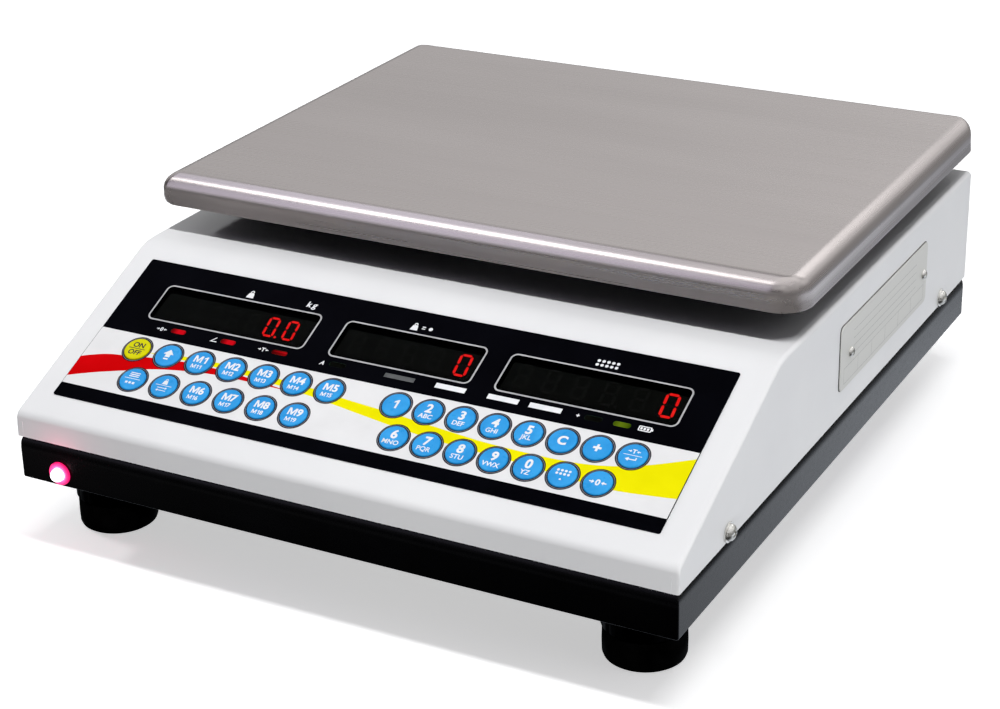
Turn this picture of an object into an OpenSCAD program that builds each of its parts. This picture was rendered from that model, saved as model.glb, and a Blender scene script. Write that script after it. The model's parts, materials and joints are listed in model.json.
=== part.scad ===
// Counting scale: white sheet-steel cover with a sloped face, black base tray,
// stainless weighing pan on a single-point load cell, 28 keys and four levelling feet.
// Units are millimetres. +X right, +Y to the rear, +Z up.
// The origin is on the floor, under the centre of the bounding box.

/* [Case] */
// Width of the top cover
cover_w = 330; // [322:1:340]
// Depth of the top cover, front to rear
cover_d = 368; // [360:1:376]
// Height of the cover's flat top above its lower edge
cover_h = 58.9; // [56:0.1:62]
// Height of the upright lip at the front
lip_h = 12; // [11.5:0.1:13]
// Distance from the front to where the slope meets the flat top
slope_end = 105.5; // [104:0.5:108]
// Sheet thickness of the cover
cover_t = 1.2; // [1:0.1:1.4]
// Height of the part of the base that shows below the cover
base_h = 21.2; // [20:0.1:24]
// Sheet thickness of the base
base_t = 1.5; // [1.2:0.1:1.6]

/* [Pan] */
// Width of the weighing pan
pan_w = 332.6; // [326:0.2:340]
// Depth of the weighing pan
pan_d = 251.4; // [246:0.2:256]
// Height of the pan's turned-down rim
pan_rim = 15.3; // [12:0.1:18]
// Sheet thickness of the pan
pan_t = 1.2; // [1:0.1:1.5]
// Radius of the pan's top edge
pan_edge_r = 8; // [6:0.5:9]
// Radius of the pan's corners seen from above
pan_corner_r = 14; // [12:0.5:20]
// Distance from the case front to the front of the pan
pan_front = 122.2; // [120:0.1:124]
// Height of the pan's top above the cover's lower edge
pan_top = 87.1; // [86:0.1:89]

/* [Keys] */
// Diameter of a key cap
key_d = 12.6; // [11.6:0.1:12.8]
// Height of a key cap above the face panel
key_up = 0.7; // [0.5:0.1:1]
// Pitch of the left group of keys
pitch_l = 17.35; // [16.8:0.01:17.6]
// Pitch of the right group of keys
pitch_r = 16.18; // [16:0.01:16.4]

/* [Feet] */
// Height of a foot below the base
foot_h = 29.5; // [26:0.5:32]
// Diameter of a foot's knob
foot_d = 37.6; // [34:0.2:38]
// Sideways distance of a front foot from the middle
foot_x = 136; // [132:1:138]
// Sideways distance of a rear foot from the middle
foot_xr = 122; // [118:1:138]
// Distance of a foot from the front or rear of the case
foot_y = 31.5; // [30:0.5:34]

/* [Hidden] */
$fn = 64;

lip_y = 0.5;                                  // the lip leans back this much at its top
lamp_out = 5.8;                               // the lamp's reach in front of the base
base_out = 0.3;                               // the base's lower part stands this far inside the cover's outer faces
base_in = cover_t + 0.6;                      // and its joggled upper edge this far
base_gap = 1;                                 // height of the joint between base and cover
y_front = base_out - lamp_out;
y_rear = pan_front + pan_d;
y_mid = (y_front + y_rear) / 2;
z_cover = base_h + foot_h;
z_floor = -base_h + base_t;                   // inside of the base's floor
tray_up = 10;                                 // the tray's walls reach this far up inside the cover
slope_a = atan2(cover_h - lip_h, slope_end - lip_y);
pan_cy = pan_front + pan_d / 2;
pan_under = pan_top - pan_t;

panel_u = [-152.8, 150.8];
panel_v = [13.9, 103.3];
panel_t = 0.5;
win_v = [67.5, 90.1];
win_u = [[-134.4, -48.4], [-35.6, 37.4], [48.8, 135.9]];
led_v = 63.5;
led_u = [-113.4, -85.8, -57.9, -27.1, 99.4, 112.7];
led_l = 8.2;
led_h = 2.8;

row1_v = 48.5;
row2_v = 31.25;
row1_l = -127.1;
row2_l = -118.8;
row1_r = 10.95;
row2_r = 18.7;
function l1(i) = [row1_l + i * pitch_l, row1_v];
function l2(i) = [row2_l + i * pitch_l, row2_v];
function r1(i) = [row1_r + i * pitch_r, row1_v];
function r2(i) = [row2_r + i * pitch_r, row2_v];
FEET = [[-foot_x, foot_y], [foot_x, foot_y], [-foot_xr, cover_d - foot_y], [foot_xr, cover_d - foot_y]];
KEYS = concat([for (i = [0:6]) l1(i)], [for (i = [0:7]) r1(i)],
              [for (i = [0:5]) l2(i)], [for (i = [0:6]) r2(i)]);
key_gap = 0.35;                               // clearance around a cap

screw_y = [49.5, 325];
screw_z = 4.3;
plate_c = [237.5, 29];
plate_s = [121, 32];
plate_screw_y = [189.5, 292.5];
lamp_x = -142.5;
lamp_z = -14.6;

cell_l = 130;
cell_w = 30;
cell_z0 = z_floor + 28;
cell_z1 = cell_z0 + 22;
cell_end = 50;                                // middle of each clamped end, from the cell's middle
bolt_s = 15;                                  // spacing of the two bolts at each end
carrier_z1 = pan_under - 8.02;
carrier_t = 2.5;
carrier_z0 = carrier_z1 - carrier_t;
pad_x = 128;
pad_y = 92;

inlet_x = -95;
inlet_z = -10.6;

white = [0.93, 0.93, 0.94];
black = [0.05, 0.05, 0.06];
steel = [0.70, 0.68, 0.67];
zinc = [0.75, 0.75, 0.77];
blue = [0.16, 0.58, 0.92];
yellow = [0.93, 0.90, 0.05];
green = [0.05, 0.35, 0.15];

module at() translate([0, -y_mid, z_cover]) children();
module slope() at() translate([0, lip_y, lip_h]) rotate([slope_a, 0, 0]) children();

// Arc of radius r at the corner p1 between p0 and p2
function unit(v) = v / norm(v);
function mid_of(p0, p1, p2, r) =
  let (a = unit(p0 - p1), b = unit(p2 - p1), h = acos(a * b) / 2) p1 + unit(a + b) * r / sin(h);
function arc(p0, p1, p2, r, n = 8) =
  let (a = unit(p0 - p1), b = unit(p2 - p1), h = acos(a * b) / 2, t = r / tan(h),
       c = mid_of(p0, p1, p2, r), s = p1 + a * t - c, e = p1 + b * t - c)
  [for (i = [0:n]) c + r * unit(s * (1 - i / n) + e * i / n)];
function bent(p, r) = concat([p[0]], arc(p[0], p[1], p[2], r), arc(p[1], p[2], p[3], r),
                             arc(p[2], p[3], p[4], r), [p[4]]);

module rounded(w, d, r) {
  square([w - 2 * r, d], center = true);
  square([w, d - 2 * r], center = true);
  for (x = [-1, 1], y = [-1, 1]) translate([x * (w / 2 - r), y * (d / 2 - r)]) circle(r);
}
module plate_at(u, v, w0, w1, r)
  translate([(u[0] + u[1]) / 2, (v[0] + v[1]) / 2, w0]) linear_extrude(w1 - w0)
    rounded(u[1] - u[0], v[1] - v[0], r);
module along_x(len, profile_pts)
  translate([-len / 2, 0, 0]) rotate([90, 0, 90]) linear_extrude(len) polygon(profile_pts);
module xcyl(x0, x1, y, z, r) translate([x0, y, z]) rotate([0, 90, 0]) cylinder(r = r, h = x1 - x0);
module ycyl(y0, y1, x, z, r) translate([x, y0, z]) rotate([-90, 0, 0]) cylinder(r = r, h = y1 - y0);
module zcyl(z0, z1, x, y, r) translate([x, y, z0]) cylinder(r = r, h = z1 - z0);
module block(p, q) translate(p) cube(q - p);

// ---- case ----
cover_pts = [[0, 0], [lip_y, lip_h], [slope_end, cover_h], [cover_d, cover_h], [cover_d, 0]];
function inset(p, t) = [[t, -1], mid_of(p[0], p[1], p[2], t), mid_of(p[1], p[2], p[3], t),
                        mid_of(p[2], p[3], p[4], t), [p[4][0] - t, -1]];

module board_stud(u, v, w) translate([u, v, w]) cylinder(r = 2.5, h = -cover_t - w + 0.2);

module top_cover() color(white) {
  difference() {
    at() along_x(cover_w, bent(cover_pts, 2.6));
    at() along_x(cover_w - 2 * cover_t, bent(inset(cover_pts, cover_t), 1.4));
    slope() {
      for (k = KEYS) translate([k[0], k[1], -4]) cylinder(d = key_d + 2 * key_gap + 1.1, h = 8);
      for (w = win_u) plate_at([w[0] + 2.5, w[1] - 2.5], [win_v[0] + 2.5, win_v[1] - 2.5], -4, 4, 1.5);
      for (u = led_u) block([u - led_l / 2 - 0.1, led_v - led_h / 2 - 0.1, -4], [u + led_l / 2 + 0.1, led_v + led_h / 2 + 0.1, 4]);
    }
    at() {
      zcyl(cover_h - 6, cover_h + 2, cell_end, pan_cy, 20);
      for (y = screw_y) xcyl(-cover_w / 2 - 1, cover_w / 2 + 1, y, screw_z, 2.2);
      for (y = plate_screw_y) xcyl(cover_w / 2 - 5, cover_w / 2 + 1, y, plate_c[1], 1.6);
    }
  }
  slope() {
    for (u = [-148, -44, 42, 148]) board_stud(u, 94.5, -8.6);
    for (k = [[-148, 27], [-148, 54], [-7, 40], [148, 27], [148, 54]]) board_stud(k[0], k[1], -9.6);
  }
}

module base_tray() color(black) at() {
  bx = cover_w / 2 - base_in;
  ox = cover_w / 2 - base_out;
  difference() {
    union() {
      block([-ox, base_out, -base_h], [ox, cover_d - base_out, -base_gap]);
      block([-bx, base_in, -base_gap - base_t], [bx, cover_d - base_in, tray_up]);
    }
    block([-ox + base_t, base_out + base_t, z_floor], [ox - base_t, cover_d - base_out - base_t, -base_gap - base_t]);
    block([-bx + base_t, base_in + base_t, z_floor], [bx - base_t, cover_d - base_in - base_t, tray_up + 1]);
    for (f = FEET) zcyl(-base_h - 1, z_floor + 1, f[0], f[1], 4.06);
    for (y = screw_y) xcyl(-bx - 1, bx + 1, y, screw_z, 2.05);
    ycyl(base_out - 1, base_out + base_t + 1, lamp_x, lamp_z, 4.1);
    block([inlet_x - 10.2, cover_d - base_out - base_t - 1, inlet_z - 6.2], [inlet_x + 10.2, cover_d, inlet_z + 6.2]);
    for (s = [-1, 1]) zcyl(-base_h - 1, z_floor + 1, -cell_end + s * bolt_s / 2, pan_cy, 3.1);
  }
  // welded nuts for the feet
  for (f = FEET) difference() {
    zcyl(z_floor, z_floor + 7, f[0], f[1], 8);
    zcyl(z_floor - 1, z_floor + 8, f[0], f[1], 4.06);
  }
  // welded nuts for the cover screws
  for (y = screw_y, s = [-1, 1]) difference() {
    xcyl(min(s * (bx - base_t - 3), s * (bx - base_t)), max(s * (bx - base_t - 3), s * (bx - base_t)), y, screw_z, 4);
    xcyl(-bx, bx, y, screw_z, 2.05);
  }
  // posts of the main board
  for (x = [38, 142], y = [118, 202]) zcyl(z_floor, z_floor + 8, x, y, 3);
}

// ---- face ----
module face_panel() color([0.06, 0.07, 0.1]) slope() difference() {
  plate_at(panel_u, panel_v, 0, panel_t, 3);
  for (k = KEYS) translate([k[0], k[1], -1]) cylinder(d = key_d + 2 * key_gap, h = 3);
  for (w = win_u) plate_at([w[0] + 1, w[1] - 1], [win_v[0] + 1, win_v[1] - 1], -1, 2, 2.5);
  for (u = led_u) block([u - led_l / 2 - 0.1, led_v - led_h / 2 - 0.1, -1], [u + led_l / 2 + 0.1, led_v + led_h / 2 + 0.1, 2]);
}

module display_filters() color([0.25, 0.05, 0.06, 0.6]) slope()
  for (w = win_u) plate_at([w[0] + 1.1, w[1] - 1.1], [win_v[0] + 1.1, win_v[1] - 1.1], 0, panel_t - 0.05, 2.4);

module led_displays() color([0.12, 0.03, 0.03]) slope() {
  plate_at([-131, -52], [70.5, 87.5], -8.5, -1.5, 0.6);
  plate_at([-32.5, 34.5], [70.5, 87.5], -8.5, -1.5, 0.6);
  plate_at([52, 133], [70.5, 87.5], -8.5, -1.5, 0.6);
}

module display_board() color(green) slope() {
  plate_at([-151, 151], [60.6, 98], -10.2, -8.6, 2);
  for (u = led_u) block([u - led_l / 2, led_v - led_h / 2, -8.6], [u + led_l / 2, led_v + led_h / 2, panel_t - 0.05]);
}

module key_board() color(green) slope() {
  plate_at([-151, 151], [22.6, 58.6], -11.2, -9.6, 2);
  for (k = KEYS) translate([k[0], k[1], -9.6]) {
    translate([-3, -3, 0]) cube([6, 6, 4]);
    cylinder(r = 1.7, h = 5.7, $fn = 24);
  }
}

module key(k, c) color(c) slope() translate([k[0], k[1], 0])
  rotate_extrude() polygon([[0, -3.4], [key_d / 2 + 0.7, -3.4], [key_d / 2, panel_t + key_up - 0.3],
    [key_d / 2 - 0.3, panel_t + key_up], [0, panel_t + key_up]]);

// ---- base fittings ----
module pilot_lamp() color([1, 0.25, 0.4]) at() translate([lamp_x, base_out, lamp_z]) rotate([90, 0, 0])
  rotate_extrude() polygon(concat([[0, -16], [4, -16], [4, 0], [5.3, 0], [5.3, 1], [4.8, 1.6], [3.6, 1.6], [3.6, lamp_out - 3.6]],
    [for (i = [1:7]) [3.6 * cos(i * 90 / 8), lamp_out - 3.6 + 3.6 * sin(i * 90 / 8)]], [[0, lamp_out]]));

module mains_inlet() color([0.04, 0.04, 0.04]) at() {
  yo = cover_d - base_out;
  difference() {
    union() {
      translate([inlet_x, yo + 1.5, inlet_z]) rotate([90, 0, 0]) linear_extrude(1.5) rounded(27, 16, 2);
      block([inlet_x - 10, yo - 15, inlet_z - 6], [inlet_x + 10, yo + 0.1, inlet_z + 6]);
    }
    translate([inlet_x, yo + 2, inlet_z]) rotate([90, 0, 0]) linear_extrude(13) {
      square([7, 8], center = true);
      for (s = [-3.5, 3.5]) translate([s, 0]) circle(4);
    }
  }
  for (s = [-4.3, 4.3]) ycyl(yo - 18, yo - 2, inlet_x + s, inlet_z, 1.2);
}

module rating_plate() color([0.80, 0.80, 0.78]) at() difference() {
  translate([cover_w / 2, plate_c[0], plate_c[1]]) rotate([90, 0, 90]) linear_extrude(0.8) rounded(plate_s[0], plate_s[1], 1);
  for (y = plate_screw_y) xcyl(cover_w / 2 - 1, cover_w / 2 + 2, y, plate_c[1], 1.6);
}

module pan_head(r, h, slot) difference() {
  rotate_extrude() polygon([[0, 0], [r, 0], [r, h * 0.45], [r * 0.86, h * 0.78], [r * 0.5, h], [0, h]]);
  for (a = [0, 90]) rotate(a) translate([-r * 0.6, -slot / 2, h * 0.5]) cube([r * 1.2, slot, h]);
}
module side_screw(s, y, z, r_shank, l, r_head, h_head, washer, slot) translate([s * cover_w / 2, y, z]) rotate([0, s * 90, 0]) {
  translate([0, 0, -l]) cylinder(r = r_shank, h = l + washer[1]);
  if (washer[0] > 0) difference() {
    cylinder(r = washer[0], h = washer[1]);
    translate([0, 0, -1]) cylinder(r = r_shank - 0.2, h = 4);
  }
  translate([0, 0, washer[1]]) pan_head(r_head, h_head, slot);
}
module case_screws() color(zinc) at() {
  for (s = [-1, 1], y = screw_y) side_screw(s, y, screw_z, 2, 8, 3.8, 2.6, [4.6, 0.8], 1);
  for (y = plate_screw_y) side_screw(1, y, plate_c[1], 1.4, 6, 2.6, 1.8, [0, 0.8], 0.8);
}

// ---- weighing parts ----
module load_cell() color([0.82, 0.83, 0.85]) at() difference() {
  block([-cell_l / 2, pan_cy - cell_w / 2, cell_z0], [cell_l / 2, pan_cy + cell_w / 2, cell_z1]);
  for (s = [-12, 12]) ycyl(pan_cy - cell_w, pan_cy + cell_w, s, (cell_z0 + cell_z1) / 2, 8.4);
  block([-12, pan_cy - cell_w, (cell_z0 + cell_z1) / 2 - 4], [12, pan_cy + cell_w, (cell_z0 + cell_z1) / 2 + 4]);
  for (e = [-cell_end, cell_end], s = [-1, 1]) zcyl(cell_z0 - 1, cell_z1 + 1, e + s * bolt_s / 2, pan_cy, 3.1);
}

module cell_spacer() color(steel) at() difference() {
  block([-cell_end - 15, pan_cy - 18, z_floor], [-cell_end + 15, pan_cy + 18, cell_z0]);
  for (s = [-1, 1]) zcyl(z_floor - 1, cell_z0 + 1, -cell_end + s * bolt_s / 2, pan_cy, 3.1);
}

module cap_screw(x, z_top, l, down = 1) at() translate([x, pan_cy, z_top]) mirror([0, 0, down > 0 ? 0 : 1]) {
  difference() {
    cylinder(r = 5, h = 6);
    translate([0, 0, 3]) cylinder(r = 2.9, h = 4, $fn = 6);
  }
  translate([0, 0, -l]) cylinder(r = 3, h = l);
}
// From above, through the fixed end, the spacer and the base's floor
module cell_base_bolts() color(zinc) for (s = [-1, 1]) cap_screw(-cell_end + s * bolt_s / 2, cell_z1, 22 + 28 + base_t);

module overload_stop() color(zinc) at() {
  zcyl(z_floor, cell_z0 - 0.7, cell_end, pan_cy, 2);
  zcyl(z_floor, z_floor + 5, cell_end, pan_cy, 5.5);
}

module pan_carrier() color([0.10, 0.10, 0.11]) at() {
  difference() {
    translate([0, pan_cy, carrier_z0]) linear_extrude(carrier_t) difference() {
      square([pan_w - 2 * pan_t - 8, pan_d - 2 * pan_t - 8], center = true);
      for (x = [-1, 1], y = [-1, 1]) translate([x * (pan_w / 2), y * (pan_d / 2)]) rotate(45) square([40, 40], center = true);
    }
    for (x = [-pad_x, pad_x], y = [-pad_y, pad_y]) zcyl(carrier_z0 - 1, carrier_z1 + 1, x, pan_cy + y, 3);
  }
  difference() {
    zcyl(cell_z1, carrier_z0, cell_end, pan_cy, 15);
    for (s = [-1, 1]) zcyl(cell_z1 - 1, cell_z1 + 14, cell_end + s * bolt_s / 2, pan_cy, 3.02);
  }
  for (y = [-34, 34]) block([-140, pan_cy + y - 1.5, carrier_z0 - 8], [140, pan_cy + y + 1.5, carrier_z0]);
}
module carrier_pads() color([0.07, 0.07, 0.07]) at()
  for (x = [-pad_x, pad_x], y = [-pad_y, pad_y]) translate([x, pan_cy + y, 0]) {
    zcyl(carrier_z1, pan_under - 0.02, 0, 0, 10);
    zcyl(carrier_z0 - 1, carrier_z1, 0, 0, 2.95);
  }
// From below, through the free end into the boss
module cell_carrier_bolts() color(zinc) for (s = [-1, 1]) cap_screw(cell_end + s * bolt_s / 2, cell_z0, 22 + 13, -1);

module pan_edge() {
  // section of the rim: x outward, y up; x = 0 is the corner's centre line
  difference() {
    union() {
      square([pan_corner_r, pan_rim - pan_edge_r]);
      square([pan_corner_r - pan_edge_r, pan_rim]);
      intersection() {
        translate([pan_corner_r - pan_edge_r, pan_rim - pan_edge_r]) circle(pan_edge_r);
        square([pan_corner_r, pan_rim]);
      }
    }
    translate([0, -1]) square([pan_corner_r - pan_t, pan_rim - pan_edge_r + 1]);
    translate([0, -1]) square([pan_corner_r - pan_edge_r, pan_rim - pan_t + 1]);
    translate([pan_corner_r - pan_edge_r, pan_rim - pan_edge_r]) circle(pan_edge_r - pan_t);
  }
}
module weighing_pan() color(steel) at() translate([0, pan_cy, pan_top - pan_rim]) {
  iw = pan_w - 2 * pan_corner_r;
  id = pan_d - 2 * pan_corner_r;
  for (q = [[1, 1, 0], [-1, 1, 90], [-1, -1, 180], [1, -1, 270]])
    translate([q[0] * iw / 2, q[1] * id / 2, 0]) rotate(q[2]) rotate_extrude(angle = 90) pan_edge();
  for (s = [0, 180]) rotate(s) {
    translate([iw / 2, id / 2, 0]) rotate([90, 0, 0]) linear_extrude(id) pan_edge();
    translate([-iw / 2, id / 2, 0]) rotate([90, 0, 90]) linear_extrude(iw) pan_edge();
  }
  translate([-iw / 2, -id / 2, pan_rim - pan_t]) cube([iw, id, pan_t]);
}

// ---- inside ----
module main_board() color(green) at() {
  z = z_floor + 8;
  difference() {
    block([32, 112, z], [148, 208, z + 1.6]);
    for (x = [38, 142], y = [118, 202]) zcyl(z - 1, z + 3, x, y, 1.6);
  }
  for (p = [[60, 140, 14, 14, 3], [90, 150, 34, 12, 4], [60, 180, 10, 10, 16], [78, 180, 10, 10, 16], [110, 176, 24, 16, 20], [120, 130, 18, 8, 9], [48, 118, 20, 6, 9]])
    translate([p[0], p[1], z + 1.6]) cube([p[2], p[3], p[4]]);
}
module battery() color([0.25, 0.26, 0.28]) at() {
  block([-142, 122, z_floor], [-42, 192, z_floor + 47]);
  for (y = [132, 176]) block([-42, y, z_floor + 36], [-35, y + 6, z_floor + 36.8]);
}
module battery_clamp() color(zinc) at() {
  z = z_floor + 47;
  block([-104, 108, z_floor], [-84, 120.6, z_floor + 1.2]);
  block([-104, 120.6, z_floor], [-84, 121.8, z + 1.4]);
  block([-104, 120.6, z + 0.2], [-84, 193.4, z + 1.4]);
  block([-104, 192.2, z_floor], [-84, 193.4, z + 1.4]);
  block([-104, 193.4, z_floor], [-84, 206, z_floor + 1.2]);
}
module transformer() color([0.30, 0.30, 0.32]) at() {
  block([-128, 294, z_floor], [-76, 310, z_floor + 44]);
  block([-124, 286, z_floor + 8], [-80, 318, z_floor + 36]);
  block([-140, 296, z_floor], [-64, 308, z_floor + 1.2]);
}

// Round cable along the points p
function dir_at(p, i) = unit(i == 0 ? p[1] - p[0] : i == len(p) - 1 ? p[i] - p[i - 1] : unit(p[i] - p[i - 1]) + unit(p[i + 1] - p[i]));
function side_at(d) = unit(cross(d, abs(d[2]) > 0.8 ? [0, 1, 0.01] : [0, 0.01, 1]));
module cable(p, r, m = 8) {
  rings = [for (i = [0:len(p) - 1]) let (d = dir_at(p, i), s = side_at(d), t = cross(d, s))
    for (k = [0:m - 1]) p[i] + r * (s * cos(k * 360 / m) + t * sin(k * 360 / m))];
  n = len(p);
  polyhedron(rings, concat([[for (k = [0:m - 1]) k]], [[for (k = [0:m - 1]) (n - 1) * m + m - 1 - k]],
    [for (i = [0:n - 2], k = [0:m - 1]) let (a = i * m + k, b = i * m + (k + 1) % m) each [[a, a + m, b], [b, a + m, b + m]]]));
}
module wiring() color([0.08, 0.08, 0.08]) at() {
  zb = z_floor;
  zc = zb + 18.65;                            // top of the board's plug
  // load cell to main board
  cable([[-cell_l / 2, pan_cy, cell_z0 + 8], [-74, pan_cy, cell_z0 + 8], [-80, 242, cell_z0], [-78, 228, zb + 10], [-60, 216, zb + 4],
    [-20, 214, zb + 4], [16, 200, zb + 5], [24, 170, zb + 10], [26, 160, zb + 20], [34, 154, zb + 25], [46, 150, zb + 24], [46, 150, zb + 9.65]], 2.2);
  // inlet to transformer
  for (s = [-1, 1]) cable([[inlet_x + s * 4.3, cover_d - base_out - 18, inlet_z], [inlet_x + s * 4.3, 342, inlet_z], [inlet_x + s * 5, 336, inlet_z + 1],
    [inlet_x + s * 6 - 4, 330, inlet_z + 8], [inlet_x + s * 6 - 6, 325, inlet_z + 12], [inlet_x + s * 6 - 6, 318.05, inlet_z + 12]], 1.4);
  // battery to main board
  cable([[-34.8, 135, zb + 36.4], [-30, 135, zb + 36.4], [-22, 136, zb + 26], [-8, 138, zb + 8], [10, 136, zb + 4], [22, 132, zb + 8],
    [28, 128, zb + 18], [36, 124, zb + 26], [52, 121, zb + 26], [52, 121, zc]], 1.4);
  cable([[-34.8, 179, zb + 36.4], [-30, 179, zb + 36.4], [-22, 176, zb + 26], [-8, 166, zb + 12], [10, 150, zb + 4], [20, 140, zb + 8],
    [28, 134, zb + 18], [36, 128, zb + 31], [60, 121, zb + 31], [60, 121, zc]], 1.4);
  // pilot lamp to main board
  cable([[lamp_x, base_out + 16.05, lamp_z], [lamp_x, 21, lamp_z], [-150, 30, lamp_z + 9], [-152, 44, lamp_z + 11], [-140, 60, lamp_z + 8], [-80, 84, zb + 4],
    [0, 96, zb + 4], [60, 98, zb + 4], [64, 102, zb + 12], [65, 108, zb + 26], [65, 121, zb + 30], [65, 121, zc]], 1.4);
}

// ---- feet ----
module foot_pad(x, y) color([0.06, 0.06, 0.06]) at() translate([x, y, -base_h - foot_h])
  rotate_extrude() polygon([[0, 0], [foot_d / 2 - 2, 0], [foot_d / 2 - 0.8, 1.2], [foot_d / 2 - 0.4, foot_h - 15], [8.06, foot_h - 15], [8.06, foot_h - 21.4], [0, foot_h - 21.4]]);
module foot_knob(x, y) color([0.04, 0.04, 0.04]) at() translate([x, y, -base_h - foot_h]) {
  difference() {
    rotate_extrude() polygon([[0, foot_h - 21], [8, foot_h - 21], [8, foot_h - 14.7], [foot_d / 2 - 0.8, foot_h - 14.7], [foot_d / 2, foot_h - 13.9],
      [foot_d / 2, foot_h - 1.2], [foot_d / 2 - 0.9, foot_h - 0.3], [0, foot_h - 0.3]]);
    for (a = [0:20:340]) rotate(a) translate([foot_d / 2 + 1.1, 0, foot_h - 16]) cylinder(r = 1.6, h = 17, $fn = 24);
  }
  translate([0, 0, foot_h - 0.4]) cylinder(r = 4, h = 24);
}

module foot_pad_fl() foot_pad(FEET[0][0], FEET[0][1]);
module foot_pad_fr() foot_pad(FEET[1][0], FEET[1][1]);
module foot_pad_rl() foot_pad(FEET[2][0], FEET[2][1]);
module foot_pad_rr() foot_pad(FEET[3][0], FEET[3][1]);
module foot_knob_fl() foot_knob(FEET[0][0], FEET[0][1]);
module foot_knob_fr() foot_knob(FEET[1][0], FEET[1][1]);
module foot_knob_rl() foot_knob(FEET[2][0], FEET[2][1]);
module foot_knob_rr() foot_knob(FEET[3][0], FEET[3][1]);

// ---- keys ----
module key_on_off() key(l1(0), yellow);
module key_shift() key(l1(1), blue);
module key_m1() key(l1(2), blue);
module key_m2() key(l1(3), blue);
module key_m3() key(l1(4), blue);
module key_m4() key(l1(5), blue);
module key_m5() key(l1(6), blue);
module key_1() key(r1(0), blue);
module key_2() key(r1(1), blue);
module key_3() key(r1(2), blue);
module key_4() key(r1(3), blue);
module key_5() key(r1(4), blue);
module key_clear() key(r1(5), blue);
module key_plus() key(r1(6), blue);
module key_tare() key(r1(7), blue);
module key_mode() key(l2(0), blue);
module key_unit() key(l2(1), blue);
module key_m6() key(l2(2), blue);
module key_m7() key(l2(3), blue);
module key_m8() key(l2(4), blue);
module key_m9() key(l2(5), blue);
module key_6() key(r2(0), blue);
module key_7() key(r2(1), blue);
module key_8() key(r2(2), blue);
module key_9() key(r2(3), blue);
module key_0() key(r2(4), blue);
module key_pieces() key(r2(5), blue);
module key_zero() key(r2(6), blue);

base_tray();
top_cover();
face_panel();
display_filters();
key_board();
display_board();
led_displays();
pilot_lamp();
load_cell();
cell_spacer();
cell_base_bolts();
overload_stop();
main_board();
battery();
battery_clamp();
transformer();
mains_inlet();
wiring();
rating_plate();
case_screws();
pan_carrier();
carrier_pads();
cell_carrier_bolts();
weighing_pan();
foot_pad_fl();
foot_pad_fr();
foot_pad_rl();
foot_pad_rr();
foot_knob_fl();
foot_knob_fr();
foot_knob_rl();
foot_knob_rr();
key_on_off();
key_shift();
key_m1();
key_m2();
key_m3();
key_m4();
key_m5();
key_1();
key_2();
key_3();
key_4();
key_5();
key_clear();
key_plus();
key_tare();
key_mode();
key_unit();
key_m6();
key_m7();
key_m8();
key_m9();
key_6();
key_7();
key_8();
key_9();
key_0();
key_pieces();
key_zero();
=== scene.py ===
import json
import math

import bmesh
import bpy
from mathutils import Matrix, Vector


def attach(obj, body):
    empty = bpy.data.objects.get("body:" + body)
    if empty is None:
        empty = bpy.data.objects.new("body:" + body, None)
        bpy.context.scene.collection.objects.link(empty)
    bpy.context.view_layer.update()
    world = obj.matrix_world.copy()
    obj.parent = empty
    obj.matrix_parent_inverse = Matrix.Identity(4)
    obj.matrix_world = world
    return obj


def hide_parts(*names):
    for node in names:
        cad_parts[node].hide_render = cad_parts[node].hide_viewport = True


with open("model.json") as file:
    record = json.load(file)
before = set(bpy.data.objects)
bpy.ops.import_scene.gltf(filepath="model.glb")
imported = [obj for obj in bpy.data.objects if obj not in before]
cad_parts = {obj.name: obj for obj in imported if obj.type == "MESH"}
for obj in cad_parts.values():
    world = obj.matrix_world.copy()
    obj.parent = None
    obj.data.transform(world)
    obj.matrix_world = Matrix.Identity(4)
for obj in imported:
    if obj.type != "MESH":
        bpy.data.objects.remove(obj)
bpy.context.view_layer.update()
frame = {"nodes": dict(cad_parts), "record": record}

nodes = frame["nodes"]
scene = bpy.context.scene

# ---------------------------------------------------------------- frames
# Pieces are drawn in millimetres: x across, y back from the front lip, z up
# from the cover's lower edge. DRAW takes that drawing frame to the row frame.
MM = 0.001
DRAW = Matrix.Scale(MM, 4) @ Matrix.Translation((0.0, -184.05, 50.7))
TILT = math.atan2(46.9, 105.0)
SLOPE_MM = Matrix.Translation((0.0, 0.5, 12.0)) @ Matrix.Rotation(TILT, 4, "X")


def axes(x, y, z, at):
    return Matrix(
        (
            (x[0], y[0], z[0], at[0]),
            (x[1], y[1], z[1], at[1]),
            (x[2], y[2], z[2], at[2]),
            (0, 0, 0, 1),
        )
    )


def on_front(x, z, y=0.3):
    return axes((1, 0, 0), (0, 0, 1), (0, -1, 0), (x, y, z))


def on_right(y, z, x=165.0):
    return axes((0, 1, 0), (0, 0, 1), (1, 0, 0), (x, y, z))


def on_left(y, z, x=-165.0):
    return axes((0, -1, 0), (0, 0, 1), (-1, 0, 0), (x, y, z))


def on_rear(x, z, y=367.7):
    return axes((-1, 0, 0), (0, 0, 1), (0, 1, 0), (x, y, z))


# ---------------------------------------------------------------- mesh tools
def clean(me, merge=1e-4, normals=True):
    bm = bmesh.new()
    bm.from_mesh(me)
    bmesh.ops.remove_doubles(bm, verts=bm.verts, dist=merge)
    bmesh.ops.dissolve_degenerate(bm, dist=1e-6, edges=bm.edges)
    if normals:
        bmesh.ops.recalc_face_normals(bm, faces=bm.faces)
    bm.to_mesh(me)
    bm.free()
    return me


def solid(verts, faces, xf=None):
    me = bpy.data.meshes.new("solid")
    me.from_pydata([Vector(v) for v in verts], [], faces)
    clean(me)
    if xf is not None:
        me.transform(xf)
    return me


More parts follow.
